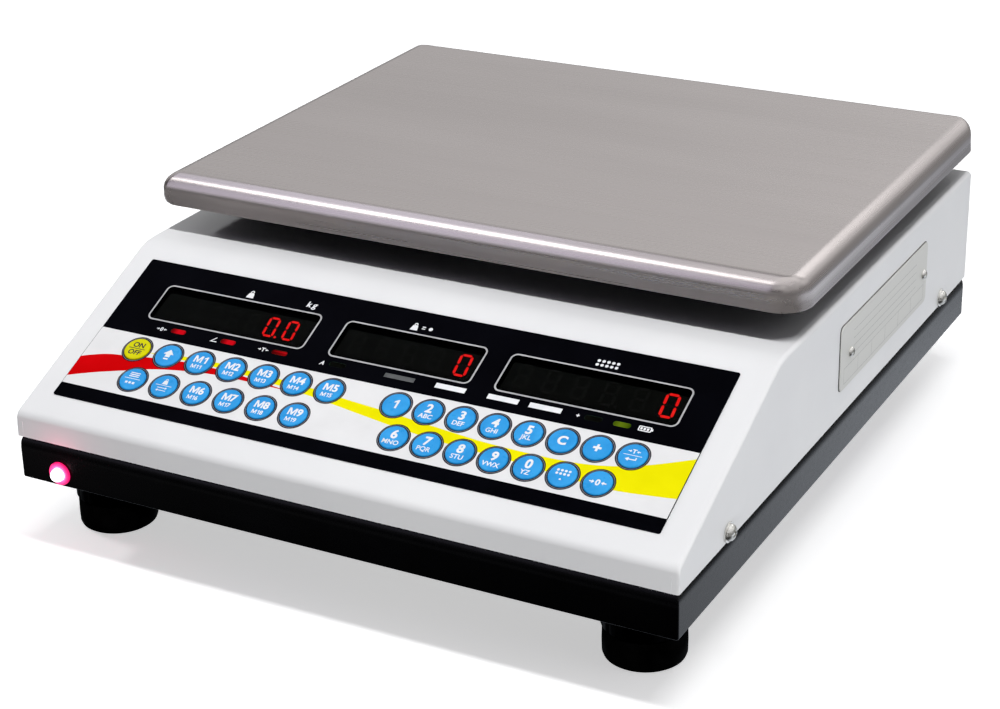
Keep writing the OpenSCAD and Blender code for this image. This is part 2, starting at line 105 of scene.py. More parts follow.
def loft(loops, first=True, last=True):
    n = len(loops[0])
    verts = [p for loop in loops for p in loop]
    faces = []
    for i in range(len(loops) - 1):
        for j in range(n):
            k = (j + 1) % n
            faces.append((i * n + j, i * n + k, (i + 1) * n + k, (i + 1) * n + j))
    if first:
        faces.append(tuple(reversed(range(n))))
    if last:
        faces.append(tuple(range((len(loops) - 1) * n, len(loops) * n)))
    return verts, faces


def lathe(profile, n=48, ring=False, wave=None):
    verts, faces, rings = [], [], []
    for r, z in profile:
        if r < 1e-6:
            rings.append([len(verts)])
            verts.append((0.0, 0.0, z))
        else:
            rings.append(list(range(len(verts), len(verts) + n)))
            for k in range(n):
                t = 2 * math.pi * k / n
                q = r + (wave(t, r, z) if wave else 0.0)
                verts.append((q * math.cos(t), q * math.sin(t), z))
    pairs = list(zip(rings, rings[1:]))
    if ring:
        pairs.append((rings[-1], rings[0]))
    for a, b in pairs:
        for k in range(n):
            j = (k + 1) % n
            if len(a) == 1 and len(b) > 1:
                faces.append((a[0], b[k], b[j]))
            elif len(b) == 1 and len(a) > 1:
                faces.append((a[k], a[j], b[0]))
            elif len(a) > 1:
                faces.append((a[k], a[j], b[j], b[k]))
    return verts, faces


def curve_mesh(cu, shift):
    tmp = bpy.data.objects.new("tmp", cu)
    scene.collection.objects.link(tmp)
    bpy.context.view_layer.update()
    dg = bpy.context.evaluated_depsgraph_get()
    me = bpy.data.meshes.new_from_object(tmp.evaluated_get(dg))
    bpy.data.objects.remove(tmp)
    bpy.data.curves.remove(cu)
    me.materials.clear()
    me.transform(shift)
    return clean(me, 2e-4)


def flat(loops, z0, z1):
    cu = bpy.data.curves.new("flat", "CURVE")
    cu.dimensions = "2D"
    cu.fill_mode = "BOTH"
    cu.extrude = (z1 - z0) / 2
    for loop in loops:
        sp = cu.splines.new("POLY")
        sp.points.add(len(loop) - 1)
        for p, q in zip(sp.points, loop):
            p.co = (q[0], q[1], 0.0, 1.0)
        sp.use_cyclic_u = True
    return curve_mesh(cu, Matrix.Translation((0, 0, (z0 + z1) / 2)))


def text(body, height, x, y, z0, z1, bold=0.0, shear=0.0, squeeze=1.0):
    cu = bpy.data.curves.new("text", "FONT")
    cu.body = body
    cu.size = 10.0
    cu.align_x = "CENTER"
    cu.extrude = (z1 - z0) / 2
    cu.offset = bold
    cu.shear = shear
    cu.resolution_u = 4
    cu.fill_mode = "BOTH"
    me = curve_mesh(cu, Matrix.Identity(4))
    xs = [v.co.x for v in me.vertices]
    ys = [v.co.y for v in me.vertices]
    k = height / 7.3
    me.transform(Matrix.Translation((-(min(xs) + max(xs)) / 2, -(min(ys) + max(ys)) / 2, 0)))
    me.transform(Matrix.Diagonal((k * squeeze, k, 1.0, 1.0)))
    me.transform(Matrix.Translation((x, y, (z0 + z1) / 2)))
    return me


def join(meshes, indices=None):
    bm = bmesh.new()
    for i, me in enumerate(meshes):
        if indices is not None:
            me.polygons.foreach_set("material_index", [indices[i]] * len(me.polygons))
        bm.from_mesh(me)
    out = bpy.data.meshes.new("joined")
    bm.to_mesh(out)
    bm.free()
    for me in meshes:
        bpy.data.meshes.remove(me)
    return out


def carve(me, cutters, operation="DIFFERENCE"):
    a = bpy.data.objects.new("a", me)
    b = bpy.data.objects.new("b", join(cutters))
    for o in (a, b):
        scene.collection.objects.link(o)
    mod = a.modifiers.new("cut", "BOOLEAN")
    mod.operation = operation
    mod.solver = "EXACT"
    mod.object = b
    bpy.context.view_layer.update()
    dg = bpy.context.evaluated_depsgraph_get()
    out = bpy.data.meshes.new_from_object(a.evaluated_get(dg))
    cutter = b.data
    bpy.data.objects.remove(a)
    bpy.data.objects.remove(b)
    bpy.data.meshes.remove(me)
    bpy.data.meshes.remove(cutter)
    out.materials.clear()
    return clean(out, 1e-4, False)


def moved(me, x=0.0, y=0.0, z=0.0, xf=None):
    me.transform(xf if xf is not None else Matrix.Translation((x, y, z)))
    return me


def piece(name, me, mats, body, replaces=(), angle=32.0, weighted=False):
    me.name = name
    me.transform(DRAW)
    me.shade_smooth()
    me.set_sharp_from_angle(angle=math.radians(angle))
    o = bpy.data.objects.new(name, me)
    scene.collection.objects.link(o)
    for m in mats if isinstance(mats, (list, tuple)) else [mats]:
        me.materials.append(m)
    if weighted:
        w = o.modifiers.new("normals", "WEIGHTED_NORMAL")
        w.keep_sharp = True
        w.weight = 100
    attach(o, body)
    if replaces:
        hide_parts(*replaces)
    return o


# ---------------------------------------------------------------- outlines
def circle(cx, cy, r, n=48):
    return [(cx + r * math.cos(2 * math.pi * k / n), cy + r * math.sin(2 * math.pi * k / n)) for k in range(n)]


def rounded(x0, y0, x1, y1, r, n=6):
    rs = r if isinstance(r, (tuple, list)) else (r, r, r, r)
    pts = []
    for (sx, sy, a), q in zip(((1, 1, 0), (-1, 1, 90), (-1, -1, 180), (1, -1, 270)), rs):
        cx = x1 - q if sx > 0 else x0 + q
        cy = y1 - q if sy > 0 else y0 + q
        for k in range(n + 1):
            t = math.radians(a + 90 * k / n)
            pts.append((cx + q * math.cos(t), cy + q * math.sin(t)))
    return pts


def spline(pts, steps=8):
    out = []
    for i in range(len(pts) - 1):
        p0 = pts[max(i - 1, 0)]
        p1, p2 = pts[i], pts[i + 1]
        p3 = pts[min(i + 2, len(pts) - 1)]
        for s in range(steps):
            t = s / steps
            out.append(
                tuple(
                    0.5
                    * (
                        2 * p1[k]
                        + (p2[k] - p0[k]) * t
                        + (2 * p0[k] - 5 * p1[k] + 4 * p2[k] - p3[k]) * t * t
                        + (3 * p1[k] - p0[k] - 3 * p2[k] + p3[k]) * t * t * t
                    )
                    for k in range(2)
                )
            )
    out.append(pts[-1])
    return out


def slab(outline, z0, z1):
    return solid(*loft([[(x, y, z0) for x, y in outline], [(x, y, z1) for x, y in outline]]))


def cylinder(cx, cy, r, z0, z1, n=48):
    return slab(circle(cx, cy, r, n), z0, z1)


def block(x0, y0, z0, x1, y1, z1):
    return slab([(x0, y0), (x1, y0), (x1, y1), (x0, y1)], z0, z1)


# ---------------------------------------------------------------- materials
def material(
    name,
    dark,
    light,
    rough,
    metal=0.0,
    scale=60.0,
    stretch=(1, 1, 1),
    detail=4.0,
    rough_scale=None,
    bump=0.0,
    bump_scale=900.0,
    bump_depth=0.0001,
    bump_stretch=None,
    ior=1.5,
    specular=0.5,
    coat=0.0,
    alpha=1.0,
    glow=None,
    glow_strength=0.0,
    span=(0.35, 0.65),
    subsurface=0.0,
):
    mat = bpy.data.materials.new(name)
    mat.use_nodes = True
    nt = mat.node_tree
    nt.nodes.clear()
    out = nt.nodes.new("ShaderNodeOutputMaterial")
    bsdf = nt.nodes.new("ShaderNodeBsdfPrincipled")
    nt.links.new(bsdf.outputs[0], out.inputs[0])
    tc = nt.nodes.new("ShaderNodeTexCoord")

    def mapped(s):
        mp = nt.nodes.new("ShaderNodeMapping")
        mp.inputs["Scale"].default_value = s
        nt.links.new(tc.outputs["Object"], mp.inputs["Vector"])
        return mp.outputs[0]

    def noise(s, vec, d=detail):
        n = nt.nodes.new("ShaderNodeTexNoise")
        n.inputs["Scale"].default_value = s
        n.inputs["Detail"].default_value = d
        nt.links.new(vec, n.inputs["Vector"])
        return n.outputs["Fac"]

    vec = mapped(stretch)
    fac = noise(scale, vec)
    ramp = nt.nodes.new("ShaderNodeValToRGB")
    ramp.color_ramp.elements[0].position = span[0]
    ramp.color_ramp.elements[1].position = span[1]
    ramp.color_ramp.elements[0].color = (*dark, 1)
    ramp.color_ramp.elements[1].color = (*light, 1)
    nt.links.new(fac, ramp.inputs[0])
    nt.links.new(ramp.outputs[0], bsdf.inputs["Base Color"])
    mr = nt.nodes.new("ShaderNodeMapRange")
    mr.inputs["From Min"].default_value = 0.3
    mr.inputs["From Max"].default_value = 0.7
    mr.inputs["To Min"].default_value = rough[0]
    mr.inputs["To Max"].default_value = rough[1]
    nt.links.new(noise(rough_scale or scale * 2.3, vec), mr.inputs["Value"])
    nt.links.new(mr.outputs[0], bsdf.inputs["Roughness"])
    if bump:
        b = nt.nodes.new("ShaderNodeBump")
        b.inputs["Strength"].default_value = bump
        b.inputs["Distance"].default_value = bump_depth
        nt.links.new(noise(bump_scale, mapped(bump_stretch or stretch), 2.0), b.inputs["Height"])
        nt.links.new(b.outputs[0], bsdf.inputs["Normal"])
    bsdf.inputs["Metallic"].default_value = metal
    bsdf.inputs["IOR"].default_value = ior
    bsdf.inputs["Specular IOR Level"].default_value = specular
    bsdf.inputs["Coat Weight"].default_value = coat
    bsdf.inputs["Alpha"].default_value = alpha
    if subsurface:
        bsdf.inputs["Subsurface Weight"].default_value = subsurface
        bsdf.inputs["Subsurface Scale"].default_value = 0.001
    if glow:
        gr = nt.nodes.new("ShaderNodeValToRGB")
        gr.color_ramp.elements[0].position = span[0]
        gr.color_ramp.elements[1].position = span[1]
        gr.color_ramp.elements[0].color = (*glow[0], 1)
        gr.color_ramp.elements[1].color = (*glow[1], 1)
        nt.links.new(fac, gr.inputs[0])
        nt.links.new(gr.outputs[0], bsdf.inputs["Emission Color"])
        bsdf.inputs["Emission Strength"].default_value = glow_strength
    return mat


M = {}
M["cover_paint"] = material("cover_paint", (0.795, 0.80, 0.815), (0.835, 0.84, 0.85), (0.36, 0.46), scale=14, rough_scale=90, bump=0.10, bump_scale=1100, bump_depth=0.00006, ior=1.45, specular=0.3)
M["base_paint"] = material("base_paint", (0.0018, 0.0018, 0.0024), (0.0036, 0.0037, 0.0046), (0.25, 0.285), scale=22, rough_scale=420, bump=0.08, bump_scale=1300, bump_depth=0.00004, ior=1.38, specular=0.5)
M["panel_black"] = material("panel_black", (0.0013, 0.0014, 0.0028), (0.0024, 0.0026, 0.0046), (0.30, 0.40), scale=50, bump=0.05, bump_scale=2200, bump_depth=0.00002, ior=1.45, specular=0.08)
M["print_white"] = material("print_white", (0.78, 0.78, 0.79), (0.83, 0.83, 0.84), (0.34, 0.44), scale=45, bump=0.05, bump_scale=2200, bump_depth=0.00003, specular=0.16)
M["print_red"] = material("print_red", (0.58, 0.0016, 0.004), (0.66, 0.0028, 0.007), (0.40, 0.50), scale=45, bump=0.05, bump_scale=2200, bump_depth=0.00002, specular=0.08)
M["print_yellow"] = material("print_yellow", (0.84, 0.77, 0.002), (0.90, 0.83, 0.004), (0.40, 0.50), scale=45, bump=0.05, bump_scale=2200, bump_depth=0.00002, specular=0.08)
# navy print, also used for the painted shade in the gap round each key
M["navy_print_and_gap_shade"] = material("navy_print_and_gap_shade", (0.006, 0.006, 0.014), (0.011, 0.011, 0.022), (0.34, 0.44), scale=80, bump=0.05, bump_scale=2200, bump_depth=0.00003, specular=0.10)
M["print_grey"] = material("print_grey", (0.40, 0.40, 0.41), (0.50, 0.50, 0.51), (0.34, 0.46), scale=180, bump=0.05, bump_scale=2200, bump_depth=0.00002, specular=0.2)
M["ring_grey"] = material("ring_grey", (0.19, 0.185, 0.20), (0.25, 0.245, 0.265), (0.34, 0.46), scale=180, bump=0.05, bump_scale=2200, bump_depth=0.00002, specular=0.2)
M["letter_white"] = material("letter_white", (0.80, 0.82, 0.85), (0.88, 0.89, 0.91), (0.36, 0.46), scale=220)
M["letter_black"] = material("letter_black", (0.006, 0.006, 0.008), (0.012, 0.012, 0.014), (0.36, 0.46), scale=220)
M["key_blue"] = material("key_blue", (0.034, 0.305, 0.73), (0.048, 0.365, 0.82), (0.26, 0.36), scale=120, bump=0.06, bump_scale=1800, bump_depth=0.00003, specular=0.2)
M["key_yellow"] = material("key_yellow", (0.64, 0.615, 0.003), (0.72, 0.69, 0.006), (0.26, 0.36), scale=120, bump=0.06, bump_scale=1800, bump_depth=0.00003, specular=0.2)
M["filter"] = material("filter", (0.0010, 0.0011, 0.0010), (0.0018, 0.0019, 0.0017), (0.10, 0.20), scale=30, alpha=0.40, ior=1.45, specular=0.05)
M["led_face"] = material("led_face", (0.0430, 0.0455, 0.0415), (0.0520, 0.0550, 0.0500), (0.5, 0.65), scale=90, specular=0.2)
M["led_black"] = material("led_black", (0.0008, 0.0008, 0.0009), (0.0014, 0.0014, 0.0014), (0.5, 0.65), scale=90, specular=0.1)
M["led_off"] = material("led_off", (0.0620, 0.0650, 0.0600), (0.0740, 0.0770, 0.0700), (0.5, 0.65), scale=150, specular=0.2)
M["led_lit"] = material("led_lit", (0.5, 0.01, 0.008), (0.6, 0.015, 0.01), (0.4, 0.5), scale=420, glow=((0.84, 0.012, 0.013), (0.95, 0.034, 0.028)), glow_strength=2.1)
M["pill_off"] = material("pill_off", (0.0036, 0.0040, 0.0030), (0.0075, 0.0080, 0.0058), (0.4, 0.55), scale=260, specular=0.05)
M["field_dark"] = material("field_dark", (0.070, 0.074, 0.074), (0.105, 0.110, 0.110), (0.35, 0.5), scale=260)
M["zinc"] = material("zinc", (0.72, 0.71, 0.67), (0.92, 0.91, 0.88), (0.16, 0.28), metal=1.0, scale=240, bump=0.10, bump_scale=2600, bump_depth=0.00004)
M["plate_metal"] = material("plate_metal", (0.640, 0.640, 0.614), (0.705, 0.705, 0.680), (0.40, 0.52), metal=0.08, scale=30, stretch=(1, 0.08, 1), rough_scale=120, bump=0.06, bump_scale=1800, bump_depth=0.00002, specular=0.3)
M["plate_ink"] = material("plate_ink", (0.33, 0.33, 0.32), (0.43, 0.43, 0.42), (0.45, 0.6), scale=400)
M["shadow_line"] = material("shadow_line", (0.045, 0.045, 0.045), (0.075, 0.075, 0.075), (0.5, 0.65), scale=200)
M["knob_plastic"] = material("knob_plastic", (0.0035, 0.0035, 0.0038), (0.0075, 0.0075, 0.008), (0.42, 0.58), scale=60, bump=0.18, bump_scale=1000, bump_depth=0.00008, ior=1.35, specular=0.1)
M["pad_rubber"] = material("pad_rubber", (0.004, 0.004, 0.004), (0.009, 0.009, 0.009), (0.66, 0.85), scale=70, bump=0.30, bump_scale=800, bump_depth=0.00012, ior=1.35, specular=0.1)
M["steel_parts"] = material("steel_parts", (0.42, 0.42, 0.42), (0.58, 0.58, 0.58), (0.26, 0.42), metal=1.0, scale=160, bump=0.08, bump_scale=1800, bump_depth=0.00004)
M["carrier_metal"] = material("carrier_metal", (0.010, 0.010, 0.011), (0.019, 0.019, 0.020), (0.45, 0.60), scale=70, rough_scale=200, bump=0.22, bump_scale=500, bump_depth=0.0001, specular=0.3)
M["cell_metal"] = material("cell_metal", (0.60, 0.61, 0.62), (0.72, 0.73, 0.74), (0.30, 0.44), metal=1.0, scale=50, stretch=(0.06, 1, 1), bump=0.1, bump_scale=1400, bump_depth=0.00003)
M["board"] = material("board", (0.010, 0.075, 0.022), (0.018, 0.115, 0.035), (0.34, 0.48), scale=90, bump=0.08, bump_scale=1500, bump_depth=0.00004)
M["battery_case"] = material("battery_case", (0.022, 0.022, 0.024), (0.034, 0.034, 0.037), (0.5, 0.65), scale=60, bump=0.2, bump_scale=800, bump_depth=0.0001)
M["core"] = material("core", (0.16, 0.155, 0.15), (0.25, 0.245, 0.24), (0.5, 0.65), metal=0.8, scale=30, stretch=(1, 1, 14))
M["inlet_plastic"] = material("inlet_plastic", (0.012, 0.012, 0.012), (0.020, 0.020, 0.021), (0.38, 0.52), scale=70, bump=0.12, bump_scale=1200, bump_depth=0.00006)
M["cable"] = material("cable", (0.25, 0.02, 0.015), (0.36, 0.035, 0.025), (0.4, 0.55), scale=90)


def steel_material(name):
    """Stainless sheet brushed along its length, with the side rims brushed along their own edge."""
    mat = bpy.data.materials.new(name)
    mat.use_nodes = True
    nt = mat.node_tree
    nt.nodes.clear()
    out = nt.nodes.new("ShaderNodeOutputMaterial")
    bsdf = nt.nodes.new("ShaderNodeBsdfPrincipled")
    nt.links.new(bsdf.outputs[0], out.inputs[0])
    tc = nt.nodes.new("ShaderNodeTexCoord")
    sep = nt.nodes.new("ShaderNodeSeparateXYZ")
    nt.links.new(tc.outputs["Object"], sep.inputs[0])

    def streaks(stretch, scale, detail):
        mp = nt.nodes.new("ShaderNodeMapping")
        mp.inputs["Scale"].default_value = stretch
        nt.links.new(tc.outputs["Object"], mp.inputs["Vector"])
        n = nt.nodes.new("ShaderNodeTexNoise")
        n.inputs["Scale"].default_value = scale
        n.inputs["Detail"].default_value = detail
        nt.links.new(mp.outputs[0], n.inputs["Vector"])
        return n.outputs["Fac"]

    def far(axis, start, end, centre=0.0):
        shift = nt.nodes.new("ShaderNodeMath")
        shift.operation = "SUBTRACT"
        shift.inputs[1].default_value = centre
        nt.links.new(sep.outputs[axis], shift.inputs[0])
        size = nt.nodes.new("ShaderNodeMath")
        size.operation = "ABSOLUTE"
        nt.links.new(shift.outputs[0], size.inputs[0])
        mr = nt.nodes.new("ShaderNodeMapRange")
        mr.interpolation_type = "SMOOTHSTEP"
        mr.inputs["From Min"].default_value = start
        mr.inputs["From Max"].default_value = end
        nt.links.new(size.outputs[0], mr.inputs["Value"])
        return mr.outputs[0]

    side = far("X", 0.1570, 0.1590)
    brush = nt.nodes.new("ShaderNodeMix")
    nt.links.new(side, brush.inputs[0])
    nt.links.new(streaks((0.010, 1, 1), 520, 5), brush.inputs[2])
    nt.links.new(streaks((1, 0.010, 1), 520, 5), brush.inputs[3])
    ramp = nt.nodes.new("ShaderNodeValToRGB")
    el = ramp.color_ramp.elements
    el[0].position, el[1].position = 0.30, 0.70
    el[0].color, el[1].color = (0.535, 0.491, 0.481, 1), (0.604, 0.556, 0.546, 1)
    cloud = nt.nodes.new("ShaderNodeMix")
    cloud.inputs[0].default_value = 0.55
    nt.links.new(brush.outputs[0], cloud.inputs[2])
    nt.links.new(streaks((0.16, 1, 1), 26, 2), cloud.inputs[3])
    nt.links.new(cloud.outputs[0], ramp.inputs[0])
    nt.links.new(ramp.outputs[0], bsdf.inputs["Base Color"])
    rough = nt.nodes.new("ShaderNodeMapRange")
    rough.inputs["From Min"].default_value = 0.3
    rough.inputs["From Max"].default_value = 0.7
    rough.inputs["To Min"].default_value = 0.262
    rough.inputs["To Max"].default_value = 0.298
    nt.links.new(brush.outputs[0], rough.inputs["Value"])
    nt.links.new(rough.outputs[0], bsdf.inputs["Roughness"])
    bsdf.inputs["Metallic"].default_value = 1.0
    return mat


M["pan_steel"] = steel_material("pan_steel")


def lamp_material(name, at, inner, outer, reach, strength, rough):
    """Light that is hottest on the lamp's axis and colours towards its edge."""
    mat = bpy.data.materials.new(name)
    mat.use_nodes = True
    nt = mat.node_tree
    nt.nodes.clear()
    out = nt.nodes.new("ShaderNodeOutputMaterial")
    bsdf = nt.nodes.new("ShaderNodeBsdfPrincipled")
    nt.links.new(bsdf.outputs[0], out.inputs[0])
    tc = nt.nodes.new("ShaderNodeTexCoord")
    flatten = nt.nodes.new("ShaderNodeVectorMath")
    flatten.operation = "MULTIPLY"
    flatten.inputs[1].default_value = (1, 0, 1)
    dist = nt.nodes.new("ShaderNodeVectorMath")
    dist.operation = "DISTANCE"
    dist.inputs[1].default_value = (at[0], 0, at[2])
    nt.links.new(tc.outputs["Object"], flatten.inputs[0])
    nt.links.new(flatten.outputs[0], dist.inputs[0])
    mr = nt.nodes.new("ShaderNodeMapRange")
    mr.inputs["From Max"].default_value = reach
    nt.links.new(dist.outputs["Value"], mr.inputs["Value"])
    for socket, k in (("Emission Color", 1.0), ("Base Color", 0.8)):
        ramp = nt.nodes.new("ShaderNodeValToRGB")
        ramp.color_ramp.elements[0].position = 0.45
        ramp.color_ramp.elements[0].color = (*[c * k for c in inner], 1)
        ramp.color_ramp.elements[1].position = 1.0
        ramp.color_ramp.elements[1].color = (*[c * k for c in outer], 1)
        nt.links.new(mr.outputs[0], ramp.inputs[0])
        nt.links.new(ramp.outputs[0], bsdf.inputs[socket])
    bsdf.inputs["Emission Strength"].default_value = strength
    bsdf.inputs["Roughness"].default_value = rough
    return mat


def bar_material(name, u0, u1, stops, strength):
    """An indicator that is brighter towards one end."""
    mat = bpy.data.materials.new(name)
    mat.use_nodes = True
    nt = mat.node_tree
    nt.nodes.clear()
    out = nt.nodes.new("ShaderNodeOutputMaterial")
    bsdf = nt.nodes.new("ShaderNodeBsdfPrincipled")
    nt.links.new(bsdf.outputs[0], out.inputs[0])
    tc = nt.nodes.new("ShaderNodeTexCoord")
    sep = nt.nodes.new("ShaderNodeSeparateXYZ")
    nt.links.new(tc.outputs["Object"], sep.inputs[0])
    mr = nt.nodes.new("ShaderNodeMapRange")
    mr.inputs["From Min"].default_value = u0 * MM
    mr.inputs["From Max"].default_value = u1 * MM
    nt.links.new(sep.outputs["X"], mr.inputs["Value"])
    ramp = nt.nodes.new("ShaderNodeValToRGB")
    el = ramp.color_ramp.elements
    el[0].position, el[1].position = stops[0][0], stops[-1][0]
    el[0].color, el[1].color = (*stops[0][1], 1), (*stops[-1][1], 1)
    for at, c in stops[1:-1]:
        el.new(at).color = (*c, 1)
    nt.links.new(mr.outputs[0], ramp.inputs[0])
    nt.links.new(ramp.outputs[0], bsdf.inputs["Base Color"])
    nt.links.new(ramp.outputs[0], bsdf.inputs["Emission Color"])
    bsdf.inputs["Emission Strength"].default_value = strength
    bsdf.inputs["Roughness"].default_value = 0.5
    bsdf.inputs["Specular IOR Level"].default_value = 0.06
    return mat


LAMP = DRAW @ Vector((-142.5, 0.3, -14.6))
M["lamp_dome"] = lamp_material("lamp_dome", LAMP, (1.0, 0.95, 0.97), (1.0, 0.72, 0.86), 0.0038, 2.2, 0.2)
M["lamp_flange"] = lamp_material("lamp_flange", LAMP, (1.0, 0.16, 0.46), (0.86, 0.020, 0.16), 0.0057, 0.85, 0.3)

# ---------------------------------------------------------------- layout
KEY_R, HOLE_R = 6.3, 6.5
row1 = [(-127.1 + 17.35 * i, 48.5) for i in range(7)] + [(10.95 + 16.18 * j, 48.5) for j in range(8)]
row2 = [(-118.8 + 17.35 * i, 31.25) for i in range(6)] + [(18.7 + 16.18 * j, 31.25) for j in range(7)]
names1 = ["on_off", "shift", "m1", "m2", "m3", "m4", "m5", "1", "2", "3", "4", "5", "clear", "plus", "tare"]
names2 = ["mode", "unit", "m6", "m7", "m8", "m9", "6", "7", "8", "9", "0", "pieces", "zero"]
keys = list(zip(names1, row1)) + list(zip(names2, row2))
WINDOWS = [(-134.4, -48.4), (-35.6, 37.4), (48.8, 135.9)]
WIN_V = (67.5, 90.1)
LED_U = [-113.4, -85.8, -57.9, -27.1, 99.4, 112.7]
LED_V, LED_W, LED_H = 63.5, 8.2, 2.8
FEET = (("fl", -136.0, 31.5), ("fr", 136.0, 31.5), ("rl", -122.0, 336.5), ("rr", 122.0, 336.5))


# ---------------------------------------------------------------- top cover
def cover_profile(d, d_end, radii=(5.0, 32.0, 3.0), k=7):
    """Side outline of the cover, d inside its slope and top, d_end inside its lip and rear."""
    pts = [Vector(p) for p in ((0.0, 0.0), (0.5, 12.0), (105.5, 58.9), (368.0, 58.9), (368.0, 0.0))]
    lines = []
    for a, b, q in zip(pts, pts[1:], (d_end, d, d, d_end)):
        t = (b - a).normalized()
        n = Vector((t.y, -t.x))
        lines.append((a + n * q, t))

    def meet(l1, l2):
        (p, t), (q, s) = l1, l2
        det = t.x * -s.y + s.x * t.y
        w = q - p
        return p + t * ((w.x * -s.y + s.x * w.y) / det)

    ground = (Vector((0.0, 0.0)), Vector((1.0, 0.0)))
    corners = [meet(lines[i], lines[i + 1]) for i in range(3)]
    out = [meet(ground, lines[0])]
    for i, c in enumerate(corners):
        t0, t1 = lines[i][1], lines[i + 1][1]
        r = max(radii[i] - d, 0.3)
        if i == 2:
            r = max(radii[i] - max(d, d_end), 0.3)
        turn = math.acos(max(-1.0, min(1.0, t0.dot(t1))))
        reach = r * math.tan(turn / 2)
        n0 = Vector((t0.y, -t0.x))
        centre = c - t0 * reach + n0 * r
        for s in range(k + 1):
            a = turn * s / k
            back = -n0
            out.append(centre + r * Vector((back.x * math.cos(a) + back.y * math.sin(a), back.y * math.cos(a) - back.x * math.sin(a))))
    out.append(meet(ground, lines[3]))
    return out


def shell(width, sheet, side_r, steps=6):
    verts, faces = [], []
    rings = []
    for skin in (0.0, sheet):
        r = side_r - skin
        sections = []
        for s in range(steps + 1):
            t = math.pi / 2 * (1 - s / steps)
            sections.append((-(width / 2 - side_r) - r * math.sin(t), skin + r * (1 - math.cos(t))))
        sections += [(-x, d) for x, d in reversed(sections)]
        ids = []
        for x, d in sections:
            prof = cover_profile(d, skin + 0.3 * (d - skin))
            ids.append(list(range(len(verts), len(verts) + len(prof))))
            verts += [(x, p.x, p.y) for p in prof]
        rings.append(ids)
        for a, b in zip(ids, ids[1:]):
            for j in range(len(a) - 1):
                faces.append((a[j], a[j + 1], b[j + 1], b[j]))
        faces.append(tuple(ids[0]))
        faces.append(tuple(reversed(ids[-1])))
    edge = []
    for ids in rings:
        edge.append([i[0] for i in ids] + [i[-1] for i in reversed(ids)])
    for j in range(len(edge[0])):
        k = (j + 1) % len(edge[0])
        faces.append((edge[0][j], edge[0][k], edge[1][k], edge[1][j]))
    return solid(verts, faces)


cover = shell(330.0, 1.2, 2.0)
cutters = []
for name, (u, v) in keys:
    cutters.append(moved(cylinder(u, v, HOLE_R + 0.5, -8, 3, 32), xf=SLOPE_MM))
for u0, u1 in WINDOWS:
    cutters.append(moved(slab(rounded(u0 - 0.6, WIN_V[0] - 0.6, u1 + 0.6, WIN_V[1] + 0.6, 2.0), -8, 3), xf=SLOPE_MM))
for u in LED_U:
    cutters.append(moved(slab(rounded(u - LED_W / 2 - 0.3, LED_V - LED_H / 2 - 0.3, u + LED_W / 2 + 0.3, LED_V + LED_H / 2 + 0.3, 1.2), -8, 3), xf=SLOPE_MM))
cutters.append(cylinder(50.0, 247.9, 20.0, 50.0, 70.0, 64))
for y in (49.5, 325.0):
    for s in (1, -1):
        cutters.append(moved(cylinder(0, 0, 2.3, -6, 3, 24), xf=on_right(y, 4.3) if s > 0 else on_left(y, 4.3)))
cover = carve(cover, cutters)
piece("top_cover_shell", cover, M["cover_paint"], "base", ["top_cover"], weighted=True)

# folded seam at each end of the lip
for s in (1, -1):
    seam = block(s * 161.6 - 0.12, 0.02, 0.6, s * 161.6 + 0.12, 0.6, 7.6)
    piece("lip_seam_" + ("r" if s > 0 else "l"), seam, M["cover_paint"], "base")

# ---------------------------------------------------------------- base tray
def box_loop(hx, y0, y1, r, z, n=6):
    return [(x, y, z) for x, y in rounded(-hx, y0, hx, y1, r, n)]


loops = []
for s in range(5):
    t = math.pi / 2 * s / 4
    d = 0.9 * (1 - math.sin(t))
    loops.append(box_loop(164.7 - d, 0.3 + d, 367.7 - d, max(1.2 - d, 0.3), -21.2 + 0.9 * (1 - math.cos(t))))
# the wall rolls in under the cover's lower edge
for d, z in ((0.0, -6.8), (0.05, -5.4), (0.20, -4.1), (0.45, -2.9), (0.80, -1.9), (1.15, -1.25), (1.35, -1.0)):
    loops.append(box_loop(164.7 - d, 0.3 + d, 367.7 - 0.25 * d, max(1.2 - d, 0.5), z))
loops.append(box_loop(163.2, 1.8, 366.2, 0.8, -1.0))
loops.append(box_loop(163.2, 1.8, 366.2, 0.8, 9.8))
loops.append(box_loop(161.7, 3.3, 364.7, 0.5, 9.8))
loops.append(box_loop(161.7, 3.3, 364.7, 0.5, -2.5))
loops.append(box_loop(163.2, 1.8, 366.2, 0.5, -2.5))
loops.append(box_loop(163.2, 1.8, 366.2, 0.5, -19.7))
tray = solid(*loft(loops))
cutters = [cylinder(x, y, 4.5, -30, -10, 32) for t, x, y in FEET]
cutters.append(moved(slab(rounded(-8.2, -4.7, 8.2, 4.7, 2.0), -6, 4), xf=on_rear(-95.0, -10.6)))
cutters.append(moved(cylinder(0, 0, 4.0, -6, 4, 32), xf=on_front(-142.5, -14.6)))
tray = carve(tray, cutters)
piece("base_tray_shell", tray, M["base_paint"], "base", ["base_tray"], weighted=True)

# ---------------------------------------------------------------- weighing pan
PAN_HX, PAN_Y0, PAN_Y1 = 166.3, 122.2, 373.6
PAN_TOP, PAN_RIM, PAN_R = 87.1, 15.3, 8.0
PAN_CORNER = (16.0, 8.0, 3.6, 15.0)  # rear right, rear left, front left, front right
PAN_FLAT_CORNER = (1.6, 2.0, 3.0, 1.4)


